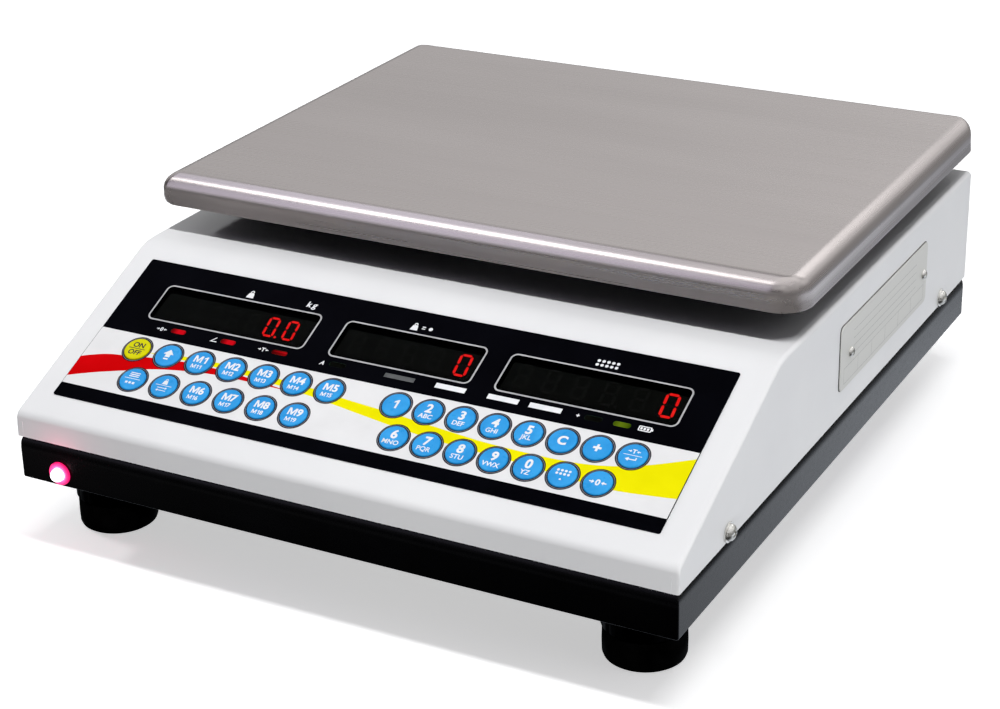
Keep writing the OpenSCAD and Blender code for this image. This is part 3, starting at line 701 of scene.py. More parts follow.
def pan_loop(d, radii, z, n=16, hold=1.5):
    """One level of the pan: its corners, with a point beside each that holds the straight edges true."""
    x0, y0, x1, y1 = -PAN_HX + d, PAN_Y0 + d, PAN_HX - d, PAN_Y1 - d
    pts = []
    for (sx, sy, a), q in zip(((1, 1, 0), (-1, 1, 90), (-1, -1, 180), (1, -1, 270)), radii):
        cx = x1 - q if sx > 0 else x0 + q
        cy = y1 - q if sy > 0 else y0 + q
        t = math.radians(a)
        pts.append((cx + q * math.cos(t) + hold * math.sin(t), cy + q * math.sin(t) - hold * math.cos(t), z))
        for k in range(n + 1):
            t = math.radians(a + 90 * k / n)
            pts.append((cx + q * math.cos(t), cy + q * math.sin(t), z))
        pts.append((cx + q * math.cos(t) - hold * math.sin(t), cy + q * math.sin(t) + hold * math.cos(t), z))
    return pts


def pan_loops(skin):
    r_in = PAN_R - skin
    out = []
    for s in range(19):
        t = math.pi / 2 * s / 18
        d = skin + 0.30 + (r_in - 0.30) * (1 - math.cos(t))
        z = PAN_TOP - PAN_R + r_in * math.sin(t)
        f = 1 - math.cos(t)
        rc = tuple(max(c - skin, 0.6) * (1 - f) + e * f for c, e in zip(PAN_CORNER, PAN_FLAT_CORNER))
        out.append(pan_loop(d, rc, z))
    out.append(pan_loop(PAN_R + 0.6, PAN_FLAT_CORNER, PAN_TOP - skin))
    out.append(pan_loop(PAN_R + 1.4, PAN_FLAT_CORNER, PAN_TOP - skin))
    out.reverse()
    # the wall flares a little, and the front left corner is dressed back at its lower edge
    for up, grow, lean in ((6.4, 0.0, 0.30), (5.0, 0.0, 0.29), (3.6, 0.0, 0.24), (1.8, 1.0, 0.12), (0.7, 2.6, 0.04), (0.15, 5.0, 0.0), (0.0, 5.0, 0.0)):
        rc = [max(c - skin, 0.6) for c in PAN_CORNER]
        rc[2] += grow
        out.append(pan_loop(skin + lean, rc, PAN_TOP - PAN_RIM + up))
    return out


outer = pan_loops(0.0)
inner = pan_loops(1.2)
pan = solid(*loft(outer + inner[::-1]))
piece("weighing_pan_tray", pan, M["pan_steel"], "pan", ["weighing_pan"], angle=50.0)

# ---------------------------------------------------------------- face panel
PANEL = (-152.8, 13.9, 150.8, 103.3)
W0, W1 = 0.02, 0.5
holes = [circle(u, v, HOLE_R, 40) for n, (u, v) in keys]
win_holes = [rounded(u0 + 0.9, WIN_V[0] + 0.9, u1 - 0.9, WIN_V[1] - 0.9, 2.6) for u0, u1 in WINDOWS]
led_holes = [rounded(u - LED_W / 2, LED_V - LED_H / 2, u + LED_W / 2, LED_V + LED_H / 2, 1.35) for u in LED_U]
me = flat([rounded(*PANEL, 1.0)] + holes + win_holes + led_holes, W0, W1)
piece("face_panel_film", moved(me, xf=SLOPE_MM), M["panel_black"], "base", ["face_panel"])

BAND = (-152.6, 21.5, 150.6, 57.3)
me = flat([[(BAND[0], BAND[1]), (BAND[2], BAND[1]), (BAND[2], BAND[3]), (BAND[0], BAND[3])]] + holes, 0.5, 0.525)
piece("panel_band_white", moved(me, xf=SLOPE_MM), M["print_white"], "base")


def key_cutters(grow=0.0, z0=-1.0, z1=2.0):
    return [cylinder(u, v, HOLE_R + grow, z0, z1, 40) for n, (u, v) in keys]


red_top = spline([(-152.6, 38.1), (-141.4, 42.1), (-130.4, 43.7), (-115.5, 45.7), (-99.5, 47.1), (-82.5, 47.1), (-65.5, 46.1), (-43.5, 43.7)])
red_low = spline([(-152.6, 25.7), (-140.4, 30.5), (-127.5, 34.7), (-113.5, 39.1), (-97.5, 42.1), (-81.5, 43.7), (-65.5, 43.9), (-43.5, 43.6)])
me = carve(slab(red_top + red_low[::-1], 0.525, 0.545), key_cutters())
piece("panel_stripe_red", moved(me, xf=SLOPE_MM), M["print_red"], "base")
yel_top = spline([(-120.5, 48.1), (-101.5, 50.1), (-83.5, 50.6), (-66.5, 50.0), (-48.5, 49.0), (-30.4, 47.7), (-13.4, 45.9), (5.5, 44.3), (22.6, 42.7), (38.5, 41.1), (55.5, 39.5), (73.5, 38.7), (90.5, 38.6), (104.5, 39.2), (118.5, 41.5), (133.6, 46.3), (150.6, 53.9)])
yel_low = spline([(-120.5, 47.9), (-100.5, 47.9), (-82.5, 47.9), (-65.5, 46.9), (-46.5, 45.3), (-29.4, 43.3), (-13.4, 41.1), (10.6, 37.7), (27.6, 35.7), (42.5, 34.4), (58.5, 33.5), (74.5, 32.8), (91.5, 31.5), (108.5, 30.0), (125.5, 29.6), (150.6, 32.1)])
me = carve(slab(yel_top + yel_low[::-1], 0.525, 0.55), key_cutters())
piece("panel_stripe_yellow", moved(me, xf=SLOPE_MM), M["print_yellow"], "base")

# rings round each key: the outer navy ring is a printed outline, the inner navy ring at the key's edge is painted
# shade of the gap round the key, and a raised grey ring sits between them
me = join([flat([circle(u, v, 7.66, 56), circle(u, v, 7.18, 56)], 0.5, 0.57) for n, (u, v) in keys] + [flat([circle(u, v, 6.88, 56), circle(u, v, 6.5, 56)], 0.5, 0.57) for n, (u, v) in keys])
piece("key_outlines_and_gap_shade", moved(me, xf=SLOPE_MM), M["navy_print_and_gap_shade"], "base")
me = join([solid(*lathe([(6.88, 0.5), (7.18, 0.5), (7.18, 0.57), (7.12, 0.60), (6.94, 0.60), (6.88, 0.57)], 56, ring=True), xf=Matrix.Translation((u, v, 0))) for n, (u, v) in keys])
piece("key_surrounds", moved(me, xf=SLOPE_MM), M["ring_grey"], "base")

# window outlines and smoked filters
me = join([flat([rounded(u0, WIN_V[0], u1, WIN_V[1], 3.4, 10), rounded(u0 + 0.8, WIN_V[0] + 0.8, u1 - 0.8, WIN_V[1] - 0.8, 2.6, 10)], 0.5, 0.53) for u0, u1 in WINDOWS])
piece("window_outlines", moved(me, xf=SLOPE_MM), M["print_grey"], "base")
me = join([slab(rounded(u0 + 0.95, WIN_V[0] + 0.95, u1 - 0.95, WIN_V[1] - 0.95, 2.5, 8), 0.05, 0.48) for u0, u1 in WINDOWS])
piece("smoked_filters", moved(me, xf=SLOPE_MM), M["filter"], "base", ["display_filters"])


# ---------------------------------------------------------------- displays
def segments(h, w, t, gap):
    """Seven hexagonal bars of one digit, upright, centred on the origin."""
    x, y, g = w / 2 - t / 2, h / 2 - t / 2, gap

    def hor(cy):
        return [(-x + g, cy), (-x + g + t / 2, cy + t / 2), (x - g - t / 2, cy + t / 2), (x - g, cy), (x - g - t / 2, cy - t / 2), (-x + g + t / 2, cy - t / 2)]

    def ver(cx, y0, y1):
        return [(cx, y0 + g), (cx + t / 2, y0 + g + t / 2), (cx + t / 2, y1 - g - t / 2), (cx, y1 - g), (cx - t / 2, y1 - g - t / 2), (cx - t / 2, y0 + g + t / 2)]

    return {"a": hor(y), "g": hor(0), "d": hor(-y), "b": ver(x, 0, y), "c": ver(x, -y, 0), "f": ver(-x, 0, y), "e": ver(-x, -y, 0)}


displays = [
    # name, digit centres, middle, height, width, lit digits, lit point, lean
    ("weight", [-61.0 - 10.4 * i for i in range(6)], 78.6, 11.9, 6.0, (0, 1), 1, -5.0),
    ("unit", [28.6 - 13.6 * i for i in range(5)], 79.0, 12.9, 6.5, (0,), None, -4.5),
    ("count", [127.4 - 13.9 * i for i in range(6)], 79.9, 13.7, 6.8, (0,), None, -3.5),
]
FACE = -1.5
lit, unlit, cases, masks = [], [], [], []
for (name, centres, cv, h, w, on, point, lean), (u0, u1) in zip(displays, WINDOWS):
    cases.append(slab(rounded(u0 + 1.6, WIN_V[0] + 1.2, u1 - 1.6, WIN_V[1] - 3.4, 0.8, 3), -8.5, FACE))
    masks.append(slab(rounded(u0 - 0.4, WIN_V[0] - 0.4, u1 + 0.4, WIN_V[1] + 0.4, 1.2, 3), FACE - 0.25, FACE - 0.05))
    k = math.tan(math.radians(-lean))
    for i, cu in enumerate(centres):
        for seg, poly in segments(h, w, 0.092 * h, 0.34).items():
            pts = [(cu + x - y * k, cv + y) for x, y in poly]
            bar = slab(pts, FACE, FACE + 0.12)
            (lit if i in on and seg != "g" else unlit).append(bar)
        dot = cylinder(cu + w / 2 + 1.25 + h / 2 * k, cv - h / 2 + 0.58, 0.60, FACE, FACE + 0.12, 20)
        (lit if point == i else unlit).append(dot)
me = join(cases)
piece("led_modules", moved(me, xf=SLOPE_MM), M["led_face"], "base", ["led_displays"])
piece("led_masks", moved(join(masks), xf=SLOPE_MM), M["led_black"], "base")
piece("led_segments_lit", moved(join(lit), xf=SLOPE_MM), M["led_lit"], "base")
piece("led_segments_unlit", moved(join(unlit), xf=SLOPE_MM), M["led_off"], "base")
RED = [(0.0, (0.05, 0.001, 0.002)), (0.22, (0.13, 0.002, 0.004)), (0.50, (0.36, 0.005, 0.011)), (0.85, (0.33, 0.004, 0.010)), (1.0, (0.12, 0.002, 0.004))]
DIM = [(0.0, (0.030, 0.001, 0.001)), (0.5, (0.085, 0.002, 0.003)), (1.0, (0.16, 0.004, 0.005))]
GREEN = [(0.0, (0.030, 0.050, 0.003)), (0.4, (0.068, 0.100, 0.007)), (0.7, (0.050, 0.080, 0.005)), (1.0, (0.020, 0.035, 0.002))]
for i, (u, kind) in enumerate(zip(LED_U, [RED, RED, DIM, None, None, GREEN])):
    q = 0.3 if kind is DIM else 1.3
    mat = bar_material("indicator_light_%d" % (i + 1), u - LED_W / 2, u + LED_W / 2, kind, 0.75) if kind else M["pill_off"]
    o = rounded(u - LED_W / 2 + 0.03, LED_V - LED_H / 2 + 0.03, u + LED_W / 2 - 0.03, LED_V + LED_H / 2 - 0.03, q, 6)
    i2 = rounded(u - LED_W / 2 + 0.1, LED_V - LED_H / 2 + 0.1, u + LED_W / 2 - 0.1, LED_V + LED_H / 2 - 0.1, max(q - 0.07, 0.1), 6)
    me = solid(*loft([[(x, y, -4.0) for x, y in o], [(x, y, 0.44) for x, y in o], [(x, y, 0.47) for x, y in i2]]))
    piece("indicator_%d" % (i + 1), moved(me, xf=SLOPE_MM), mat, "base")
me = slab(rounded(LED_U[2] - 3.4, LED_V + 0.15, LED_U[2] + 3.6, LED_V + 0.75, 0.2, 3), 0.47, 0.49)
piece("indicator_3_bar", moved(me, xf=SLOPE_MM), bar_material("indicator_light_3b", LED_U[2] - 4.0, LED_U[2] + 4.0, [(0.0, (0.08, 0.002, 0.003)), (0.5, (0.20, 0.004, 0.006)), (1.0, (0.30, 0.006, 0.010))], 0.7), "base")

# ---------------------------------------------------------------- panel marks
MARK0, MARK1 = 0.5, 0.53


def arrow(x0, x1, y, t, head):
    s = 1 if x1 > x0 else -1
    return [(x0, y - t / 2), (x1 - s * head, y - t / 2), (x1 - s * head, y - head * 0.85), (x1, y), (x1 - s * head, y + head * 0.85), (x1 - s * head, y + t / 2), (x0, y + t / 2)]


def to_zero(x, y, k, z0, z1, sign="0"):
    """Two arrows that point at a 0, or at a T for tare."""
    return [
        slab(arrow(x - 2.9 * k, x - 1.15 * k, y, 0.42 * k, 0.85 * k), z0, z1),
        slab(arrow(x + 2.9 * k, x + 1.15 * k, y, 0.42 * k, 0.85 * k), z0, z1),
        text(sign, 2.3 * k, x, y, z0, z1, 0.35),
    ]


def weight_icon(x, y, k, z0, z1):
    """A shop weight: a flared block with a ring handle."""
    return [
        slab([(x - 2.0 * k, y - 2.0 * k), (x + 2.0 * k, y - 2.0 * k), (x + 1.35 * k, y + 0.9 * k), (x - 1.35 * k, y + 0.9 * k)], z0, z1),
        flat([circle(x, y + 1.62 * k, 0.95 * k, 24), circle(x, y + 1.62 * k, 0.48 * k, 24)], z0, z1),
    ]


def dot_grid(x, y, nx, ny, pitch, r, z0, z1):
    return [cylinder(x + (i - (nx - 1) / 2) * pitch, y + (j - (ny - 1) / 2) * pitch, r, z0, z1, 20) for i in range(nx) for j in range(ny)]


marks = []
marks += weight_icon(-90.4, 93.4, 1.0, MARK0, MARK1)
marks += [text("k", 3.4, -58.8, 94.5, MARK0, MARK1, 0.30, 0.1), text("g", 3.5, -55.9, 93.5, MARK0, MARK1, 0.26, 0.1)]
marks += weight_icon(-2.6, 93.5, 0.95, MARK0, MARK1)
marks += [block(1.0, 93.0, MARK0, 2.7, 93.5, MARK1), block(1.0, 94.1, MARK0, 2.7, 94.6, MARK1)]
marks += [cylinder(5.4, 93.8, 1.0, MARK0, MARK1, 24)]
marks += dot_grid(92.9, 93.9, 5, 2, 2.3, 0.8, MARK0, MARK1)
marks += to_zero(-122.4, 63.0, 0.95, MARK0, MARK1)
marks += [slab([(-95.1, 61.9), (-91.5, 61.9), (-91.5, 62.4), (-94.0, 62.4), (-94.0, 62.45), (-92.1, 64.5), (-92.5, 64.8)], MARK0, MARK1)]
marks += to_zero(-66.5, 63.4, 0.95, MARK0, MARK1, "T")
marks += [text("A", 2.3, -34.9, 63.0, MARK0, MARK1, 0.3, 0.2)]
marks += [text("+", 2.2, 92.2, 63.5, MARK0, MARK1, 0.4)]
marks += [flat([rounded(120.2, 62.3, 126.2, 65.1, 0.4, 3), rounded(120.7, 62.8, 125.7, 64.6, 0.2, 3)], MARK0, MARK1), block(126.2, 63.1, MARK0, 126.9, 64.3, MARK1)]
marks += [block(121.1 + 1.5 * i, 63.1, MARK0, 122.1 + 1.5 * i, 64.3, MARK1) for i in range(3)]
# blank fields for the ratings
marks += [slab([(u0, 62.4), (u1, 62.4), (u1, 65.2), (u0, 65.2)], MARK0, MARK1) for u0, u1 in ((22.9, 37.8), (48.7, 63.7), (68.9, 84.3))]
piece("panel_marks", moved(join(marks), xf=SLOPE_MM), M["letter_white"], "base")
me = slab([(-2.8, 62.4), (12.4, 62.4), (12.4, 64.9), (-2.8, 64.9)], MARK0, MARK0 + 0.02)
piece("panel_field_dark", moved(me, xf=SLOPE_MM), M["field_dark"], "base")

# ---------------------------------------------------------------- keys
TOP = 1.2
L0, L1 = TOP - 0.02, TOP + 0.012
LETTERS = {"2": "ABC", "3": "DEF", "4": "GHI", "5": "JKL", "6": "MNO", "7": "PQR", "8": "STU", "9": "VWX", "0": "YZ"}


def one(h, x, y, t, z0, z1):
    """A figure 1 with its flag."""
    return slab([(x + 0.05 * h, y - h / 2), (x + 0.05 * h + t, y - h / 2), (x + 0.05 * h + t, y + h / 2), (x + 0.10 * h, y + h / 2), (x - 0.20 * h, y + 0.27 * h), (x - 0.20 * h, y + 0.27 * h - 0.85 * t), (x + 0.05 * h, y + 0.22 * h)], z0, z1)


def memory(n, h, x, y, t, bold, z0, z1):
    """The letter M and a number, spaced so that they stay open at a small size."""
    w, cell, gap = 1.06 * h, 0.56 * h, 0.12 * h
    digits = str(n)
    x0 = x - (w + len(digits) * (cell + gap)) / 2
    y0 = y - h / 2
    em = [(0, 0), (0, h), (1.3 * t, h), (w / 2, 0.40 * h), (w - 1.3 * t, h), (w, h), (w, 0), (w - t, 0), (w - t, 0.66 * h), (w / 2 + 0.40 * t, 0.04 * h), (w / 2 - 0.40 * t, 0.04 * h), (t, 0.66 * h), (t, 0)]
    out = [slab([(x0 + px, y0 + py) for px, py in em], z0, z1)]
    for i, d in enumerate(digits):
        cx = x0 + w + gap + i * (cell + gap) + cell / 2
        out.append(one(h, cx, y, t * 1.05, z0, z1) if d == "1" else text(d, h, cx, y, z0, z1, bold))
    return out


def key_label(name):
    if name == "on_off":
        return [text("ON", 2.9, 0, 2.2, L0, L1, 0.32), block(-4.4, -0.20, L0, 4.4, 0.18, L1), text("OFF", 2.8, 0, -2.3, L0, L1, 0.29)]
    if name[0] == "m" and name[1:].isdigit():
        n = int(name[1:])
        return memory(n, 4.0, 0.2, 1.5, 0.78, 0.36, L0, L1) + memory(10 + n, 2.3, 0, -2.9, 0.38, 0.22, L0, L1)
    if name in LETTERS:
        return [text(name, 4.7, 0, 1.6, L0, L1, 0.36), text(LETTERS[name], 2.5, 0, -2.9, L0, L1, 0.16)]
    if name == "1":
        return [one(4.8, -0.1, 0.2, 0.95, L0, L1)]
    if name == "clear":
        return [text("C", 4.6, 0, 0, L0, L1, 0.40)]
    if name == "plus":
        return [slab([(-0.55, -1.9), (0.55, -1.9), (0.55, -0.55), (1.9, -0.55), (1.9, 0.55), (0.55, 0.55), (0.55, 1.9), (-0.55, 1.9), (-0.55, 0.55), (-1.9, 0.55), (-1.9, -0.55), (-0.55, -0.55)], L0, L1)]
    if name == "shift":
        return [slab([(0, 3.4), (2.7, 0.5), (1.25, 0.5), (1.25, -1.2), (-1.25, -1.2), (-1.25, 0.5), (-2.7, 0.5)], L0, L1), block(-1.25, -2.7, L0, 1.25, -1.9, L1)]
    if name == "mode":
        return [block(-2.6, 1.1 + 1.05 * i, L0, 2.6, 1.6 + 1.05 * i, L1) for i in range(3)] + [block(-4.2, -0.14, L0, 4.2, 0.14, L1)] + [block(-2.5 + 1.9 * i, -3.0, L0, -1.3 + 1.9 * i, -1.8, L1) for i in range(3)]
    if name == "unit":
        return weight_icon(0, 2.1, 0.72, L0, L1) + [block(-4.2, -0.14, L0, 4.2, 0.14, L1)] + [slab(arrow(-2.6, 2.6, -1.5, 0.34, 0.85), L0, L1), slab(arrow(2.6, -2.6, -3.0, 0.34, 0.85), L0, L1)]
    if name == "tare":
        bent = [(2.4, -1.0), (2.4, -2.5), (-1.1, -2.5), (-1.1, -3.3), (-2.7, -2.25), (-1.1, -1.2), (-1.1, -2.0), (1.9, -2.0), (1.9, -1.0)]
        return to_zero(0, 2.1, 0.95, L0, L1, "T") + [block(-4.2, -0.14, L0, 4.2, 0.14, L1), slab(bent, L0, L1)]
    if name == "pieces":
        return dot_grid(0, 1.2, 4, 2, 1.8, 0.62, L0, L1) + [cylinder(0, -2.6, 0.45, L0, L1, 20)]
    return to_zero(0, 0, 1.35, L0, L1)


for name, (u, v) in keys:
    cap = lathe(
        [(0, TOP), (5.3, TOP), (5.85, TOP - 0.04), (6.1, TOP - 0.13), (6.24, TOP - 0.28), (6.31, TOP - 0.5), (6.43, 0.0), (7.0, -3.4), (0, -3.4)],
        56,
    )
    at = SLOPE_MM @ Matrix.Translation((u, v, 0))
    colour = "key_yellow" if name == "on_off" else "key_blue"
    piece("keycap_" + name, solid(*cap, xf=at), M[colour], "key_" + name, ["key_" + name])
    me = moved(join(key_label(name)), xf=at)
    piece("keymark_" + name, me, M["letter_black" if name == "on_off" else "letter_white"], "key_" + name)


# ---------------------------------------------------------------- screws
def cross_screw(r, h, recess):
    head = solid(*lathe([(0, h), (0.35 * r, 0.985 * h), (0.62 * r, 0.88 * h), (0.84 * r, 0.64 * h), (0.96 * r, 0.36 * h), (r, 0.16 * h), (r, 0.0), (0, 0.0)], 40))
    a, b = recess, recess * 0.24
    plus = [(-b, -a), (b, -a), (b, -b), (a, -b), (a, b), (b, b), (b, a), (-b, a), (-b, b), (-a, b), (-a, -b), (-b, -b)]
    return carve(head, [slab(plus, h - 0.42 * h, h + 1.0)])


def washer(r0, r1, t):
    c = 0.15
    return solid(*lathe([(r0, 0), (r1 - c, 0), (r1, c), (r1, t - c), (r1 - c, t), (r0, t)], 40, ring=True))


parts = []
turns = {(49.5, 1): 25, (325.0, 1): 62, (49.5, -1): 10, (325.0, -1): 40}
for (y, s), turn in turns.items():
    at = on_right(y, 4.3) if s > 0 else on_left(y, 4.3)
    parts.append(moved(washer(2.2, 4.6, 0.8), xf=at))
    parts.append(moved(cross_screw(3.8, 2.6, 2.1), xf=at @ Matrix.Translation((0, 0, 0.8)) @ Matrix.Rotation(math.radians(turn), 4, "Z")))
    parts.append(moved(cylinder(0, 0, 1.9, -7.0, 0.8, 24), xf=at))
piece("side_screws", join(parts), M["zinc"], "base", ["case_screws"], angle=40)

# ---------------------------------------------------------------- rating plate
at = on_right(237.5, 29.0)
o = rounded(-60.5, -16.0, 60.5, 16.0, 3.0, 8)
i2 = rounded(-60.25, -15.75, 60.25, 15.75, 2.75, 8)
me = solid(*loft([[(x, y, 0.0) for x, y in o], [(x, y, 0.55) for x, y in o], [(x, y, 0.8) for x, y in i2]]))
piece("rating_plate_blank", moved(me, xf=at), M["plate_metal"], "base", ["rating_plate"])
edge = flat([rounded(-60.85, -16.15, 60.6, 16.3, 3.1, 8), rounded(-60.3, -15.8, 60.3, 15.8, 2.8, 8)], 0.0, 0.3)
piece("rating_plate_shadow", moved(edge, xf=at), M["shadow_line"], "base")
rules = []
for y in (9.2, 5.2, 1.4, -2.4):
    rules.append(block(-44.0, y - 0.11, 0.8, 44.0, y + 0.11, 0.812))
rules.append(flat([rounded(-56.0, -13.4, 56.0, -5.6, 0.4, 3), rounded(-55.8, -13.2, 55.8, -5.8, 0.2, 3)], 0.8, 0.812))
for x in (-37.3, -18.7, 0.0, 18.7, 37.3):
    rules.append(block(x - 0.1, -13.2, 0.8, x + 0.1, -5.8, 0.812))
piece("rating_plate_rules", moved(join(rules), xf=at), M["plate_ink"], "base")
parts = []
for y, turn in ((189.5, 30), (292.5, 70)):
    parts.append(moved(cross_screw(2.6, 1.8, 1.5), xf=on_right(y, 29.0, 165.8) @ Matrix.Rotation(math.radians(turn), 4, "Z")))
piece("plate_screws", join(parts), M["zinc"], "base", angle=40)

# ---------------------------------------------------------------- pilot lamp
at = on_front(-142.5, -14.6)
flange = solid(*lathe([(3.25, 0.0), (5.6, 0.0), (5.6, 0.8), (5.4, 1.2), (4.9, 1.5), (4.3, 1.55), (3.7, 1.3), (3.25, 1.2)], 48, ring=True))
piece("lamp_flange", moved(flange, xf=at), M["lamp_flange"], "base", ["pilot_lamp"])
dome = [(0, 5.3)] + [(3.2 * math.sin(math.radians(a)), 2.1 + 3.2 * math.cos(math.radians(a))) for a in range(10, 91, 10)] + [(3.2, -8.0), (0, -8.0)]
piece("lamp_dome", moved(solid(*lathe(dome, 48)), xf=at), M["lamp_dome"], "base")

# ---------------------------------------------------------------- mains inlet
at = on_rear(-95.0, -10.6)
outer_plate = rounded(-13.5, -8.0, 13.5, 8.0, 2.0, 6)
eight = rounded(-7.5, -4.0, 7.5, 4.0, 3.9, 10)
wall = rounded(-8.0, -4.5, 8.0, 4.5, 2.0, 6)
plate_me = flat([outer_plate, eight], 0.0, 1.5)
sleeve = flat([wall, eight], -11.0, 0.0)
floor_me = slab(wall, -12.0, -11.0)
piece("inlet_socket", moved(join([plate_me, sleeve, floor_me]), xf=at), M["inlet_plastic"], "base", ["mains_inlet"])
pins = []
for x in (-4.3, 4.3):
    pins.append(solid(*lathe([(0, -1.2), (0.7, -1.35), (1.2, -2.0), (1.2, -11.2), (0, -11.2)], 24), xf=at @ Matrix.Translation((x, 0, 0))))
piece("inlet_pins", join(pins), M["steel_parts"], "base")

# ---------------------------------------------------------------- feet
def flutes(t, r, z):
    if r < 17.8 or z > -22.4 or z < -35.2:
        return 0.0
    return -0.55 * max(0.0, math.cos(18 * t)) ** 2


for tag, x, y in FEET:
    at = Matrix.Translation((x, y, 0.0))
    knob = solid(*lathe([(0, 2.4), (3.6, 2.4), (4.0, 2.0), (4.0, -21.5), (17.8, -21.5), (18.4, -21.7), (18.75, -22.3), (18.8, -22.6), (18.8, -34.9), (18.6, -35.4), (18.0, -35.8), (17.4, -35.9), (0, -35.9)], 144, wave=flutes), xf=at)
    piece("knob_body_" + tag, knob, M["knob_plastic"], "knob_" + tag, ["foot_knob_" + tag])
    pad = solid(*lathe([(0, -36.2), (17.2, -36.2), (17.7, -36.4), (18.0, -36.9), (18.2, -43.5), (18.1, -48.6), (17.6, -49.9), (16.6, -50.6), (15.6, -50.7), (14.8, -50.4), (13.2, -50.4), (12.4, -50.7), (0, -50.7)], 96), xf=at)
    piece("pad_body_" + tag, pad, M["pad_rubber"], "foot_" + tag, ["foot_pad_" + tag])

# ---------------------------------------------------------------- carried-over nodes
record = frame["record"]
slot_of = {}
for sub in record.get("subparts", []):
    slot_of[sub.get("node") or sub.get("name")] = sub.get("material") or sub.get("slot")
fallback = {
    "pan_carrier": "carrier_metal",
    "carrier_pads": "pad_rubber",
    "cell_carrier_bolts": "steel_parts",
    "cell_base_bolts": "steel_parts",
    "overload_stop": "steel_parts",
    "load_cell": "cell_metal",
    "cell_spacer": "cell_metal",
    "key_board": "board",
    "display_board": "board",
    "main_board": "board",
    "battery": "battery_case",
    "battery_clamp": "steel_parts",
    "transformer": "core",
    "wiring": "cable",
}
for name, o in nodes.items():
    if name in fallback:
        o.data.materials.clear()
        o.data.materials.append(M[fallback[name]])

# ---------------------------------------------------------------- stage
bm = bmesh.new()
half, back, n = 4.0, 4.0, 24
rows = [(-16.0, 0.0), (2.4, 0.0)]
for s in range(1, n + 1):
    t = math.pi / 2 * s / n
    rows.append((2.4 + 1.6 * math.sin(t), 1.6 * (1 - math.cos(t))))
rows.append((4.0, 4.5))
grid = [[bm.verts.new((x, y, z - 0.0002)) for x in (-16.0, 16.0)] for y, z in rows]
for a, b in zip(grid, grid[1:]):
    bm.faces.new((a[0], a[1], b[1], b[0]))
me = bpy.data.meshes.new("studio_floor")
bm.to_mesh(me)
bm.free()
me.shade_smooth()
floor = bpy.data.objects.new("studio_floor", me)
scene.collection.objects.link(floor)
fm = material("studio_floor", (0.86, 0.86, 0.865), (0.88, 0.88, 0.885), (0.65, 0.75), scale=3, ior=1.3, glow=((0.98, 0.98, 1.0), (1.0, 1.0, 1.0)), glow_strength=0.50)
me.materials.append(fm)
floor.visible_glossy = False
floor.visible_diffuse = False

world = bpy.data.worlds.new("studio")
scene.world = world
world.use_nodes = True
wt = world.node_tree
bg = wt.nodes["Background"]
# a room that is bright overhead, mid grey behind and dim low in front
wc = wt.nodes.new("ShaderNodeTexCoord")
sep = wt.nodes.new("ShaderNodeSeparateXYZ")
wt.links.new(wc.outputs["Generated"], sep.inputs[0])


def sky(stops):
    mr = wt.nodes.new("ShaderNodeMapRange")
    mr.inputs["From Min"].default_value = -1.0
    mr.inputs["From Max"].default_value = 1.0
    wt.links.new(sep.outputs["Z"], mr.inputs["Value"])
    ramp = wt.nodes.new("ShaderNodeValToRGB")
    el = ramp.color_ramp.elements
    el[0].position, el[1].position = (stops[0][0] + 1) / 2, (stops[-1][0] + 1) / 2
    el[0].color, el[1].color = (*stops[0][1], 1), (*stops[-1][1], 1)
    for z, c in stops[1:-1]:
        el.new((z + 1) / 2).color = (*c, 1)
    wt.links.new(mr.outputs[0], ramp.inputs[0])
    return ramp.outputs[0]


def grey(v, tint=(1.0, 1.0, 1.0)):
    return tuple(v * t for t in tint)


LILAC = (0.97, 0.92, 1.06)
COOL = (0.95, 1.0, 1.08)
behind = sky([(-1.0, grey(0.60, COOL)), (-0.52, grey(0.56, COOL)), (-0.43, grey(0.94, COOL)), (-0.40, grey(0.94, COOL)), (-0.355, grey(0.46, COOL)), (-0.30, grey(0.27, COOL)), (-0.15, grey(0.29)), (0.05, grey(0.29)), (0.16, grey(0.33)), (0.22, grey(0.52)), (0.28, grey(0.74)), (0.39, grey(0.73)), (0.5, grey(0.68)), (0.6, grey(0.55)), (0.7, grey(0.40)), (0.85, grey(0.25)), (1.0, grey(0.2))])
ahead = sky([(-1.0, grey(0.06)), (-0.52, grey(0.07)), (-0.455, grey(0.16)), (-0.415, grey(0.50)), (-0.39, grey(0.54)), (-0.34, grey(0.36)), (-0.29, grey(0.10)), (-0.20, grey(0.12)), (-0.12, grey(0.34)), (-0.04, grey(0.38)), (0.05, grey(0.10)), (0.14, grey(0.04)), (0.3, grey(0.05, LILAC)), (0.5, grey(0.06, LILAC)), (0.7, grey(0.08, LILAC)), (0.85, grey(0.14, LILAC)), (1.0, grey(0.2))])
turn = wt.nodes.new("ShaderNodeMapRange")
turn.interpolation_type = "SMOOTHSTEP"
turn.inputs["From Min"].default_value = -0.35
turn.inputs["From Max"].default_value = 0.35
wt.links.new(sep.outputs["Y"], turn.inputs["Value"])
mix = wt.nodes.new("ShaderNodeMix")
mix.data_type = "RGBA"
wt.links.new(turn.outputs[0], mix.inputs[0])
wt.links.new(ahead, mix.inputs[6])
# the room behind is lighter towards the right
across = wt.nodes.new("ShaderNodeMapRange")
across.inputs["From Min"].default_value = -0.62
across.inputs["From Max"].default_value = -0.22
across.inputs["To Min"].default_value = 0.90
across.inputs["To Max"].default_value = 1.12
wt.links.new(sep.outputs["X"], across.inputs["Value"])
lit = wt.nodes.new("ShaderNodeVectorMath")
lit.operation = "SCALE"
wt.links.new(behind, lit.inputs[0])
wt.links.new(across.outputs[0], lit.inputs["Scale"])
wt.links.new(lit.outputs[0], mix.inputs[7])
wt.links.new(mix.outputs[2], bg.inputs[0])


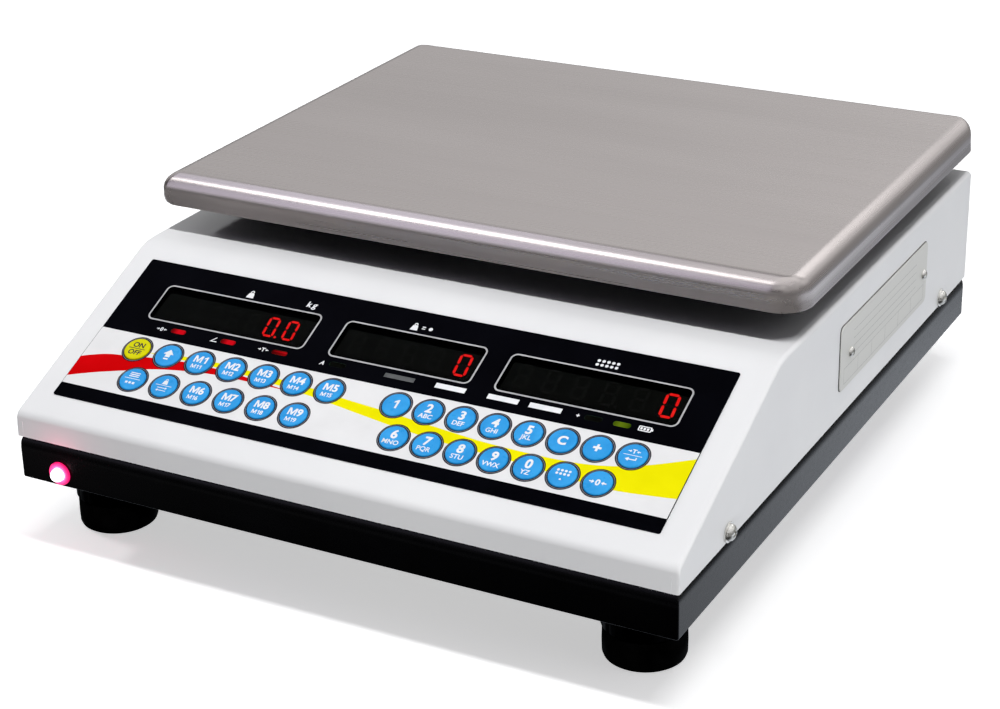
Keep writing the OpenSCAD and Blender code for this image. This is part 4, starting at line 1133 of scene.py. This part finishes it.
def area(name, at, look, sx, sy, power, colour=(1, 1, 1)):
    li = bpy.data.lights.new(name, "AREA")
    li.shape = "RECTANGLE"
    li.size, li.size_y, li.energy, li.color = sx, sy, power, colour
    o = bpy.data.objects.new(name, li)
    scene.collection.objects.link(o)
    o.location = at
    o.rotation_mode = "QUATERNION"
    o.rotation_quaternion = (Vector(look) - Vector(at)).to_track_quat("-Z", "Y")
    return o


# the key light is straight above the pan's front edge, and a weaker one reaches in under the pan from the left
for lamp in (
    area("key_top", (0.22, -0.068, 1.6), (0.22, -0.068, 0.0), 1.3, 0.10, 16.6),
    area("side_left", (-1.5, 0.0, 0.76), (-0.14, 0.0, 0.11), 0.4, 0.08, 7.8),
    area("side_right", (1.6, 0.1, 0.13), (0.1, 0.1, 0.08), 1.2, 0.2, 6.7),
    area("fill_low", (0.5, -1.9, 0.12), (0.0, -0.15, 0.08), 1.0, 0.12, 16.0),
):
    lamp.visible_glossy = False
# panels that are only seen as reflections in the steel
for strip in (
    area("strip_top", (-0.85, -0.865, 1.5), (-0.85, -0.865, 0.0), 0.8, 0.61, 6.6),
    area("strip_high", (-0.925, 0.075, 1.52), (-0.925, 0.075, 0.0), 0.77, 1.6, 3.5, (0.86, 0.85, 1.0)),
    area("strip_front", (-0.86, -1.57, 0.76), (0.0, -0.06, 0.13), 1.0, 1.30, 4.1, (0.88, 0.85, 1.0)),
    area("strip_rear", (0.38, 1.68, 1.29), (0.38, 0.06, 0.135), 1.25, 0.34, 2.15),
    area("strip_low", (0.45, -1.80, 1.02), (0.155, -0.06, 0.13), 1.3, 0.95, 2.3),
    area("panel_front", (1.75, -1.10, 0.86), (0.0, 0.06, 0.137), 2.4, 1.3, 4.6),
    area("strip_corner", (0.375, -0.45, 1.5), (0.375, -0.45, 0.0), 1.65, 2.1, 8.6),
    area("strip_turn", (0.60, 1.05, 1.5), (0.60, 1.05, 0.0), 1.0, 0.9, 1.5),
    area("strip_far", (1.62, -0.35, 1.5), (1.62, -0.35, 0.0), 0.84, 2.3, 3.6),
):
    strip.visible_diffuse = False
glow = bpy.data.lights.new("lamp_glow", "POINT")
glow.energy, glow.color, glow.shadow_soft_size = 0.0042, (1.0, 0.08, 0.22), 0.003
o = bpy.data.objects.new("lamp_glow", glow)
scene.collection.objects.link(o)
o.location = DRAW @ Vector((-140.5, -8.5, -8.0))
o.visible_glossy = False

cam = bpy.data.cameras.new("camera")
cam.sensor_fit = "HORIZONTAL"
cam.sensor_width = 36.0
cam.lens = 82.002
cam.shift_x, cam.shift_y = -0.00753, -0.04157
cam.clip_start, cam.clip_end = 0.01, 50.0
camera = bpy.data.objects.new("camera", cam)
scene.collection.objects.link(camera)
camera.matrix_world = axes(
    (0.8831964, 0.4686032, -0.0193681),
    (-0.1683353, 0.3552722, 0.9194808),
    (0.4377526, -0.8088218, 0.3926575),
    (0.4792853, -0.90152241, 0.50667013),
)
scene.camera = camera
scene.view_settings.view_transform = "Standard"
scene.view_settings.look = "None"
# a camera response that holds back the deepest shadows
scene.view_settings.use_curve_mapping = True
curve = scene.view_settings.curve_mapping.curves[3]
curve.points[0].location = (0.0, 0.0)
curve.points[1].location = (1.0, 1.0)
for x, y in ((0.008, 0.0012), (0.07, 0.058), (0.3, 0.3)):
    curve.points.new(x, y)
scene.view_settings.curve_mapping.update()
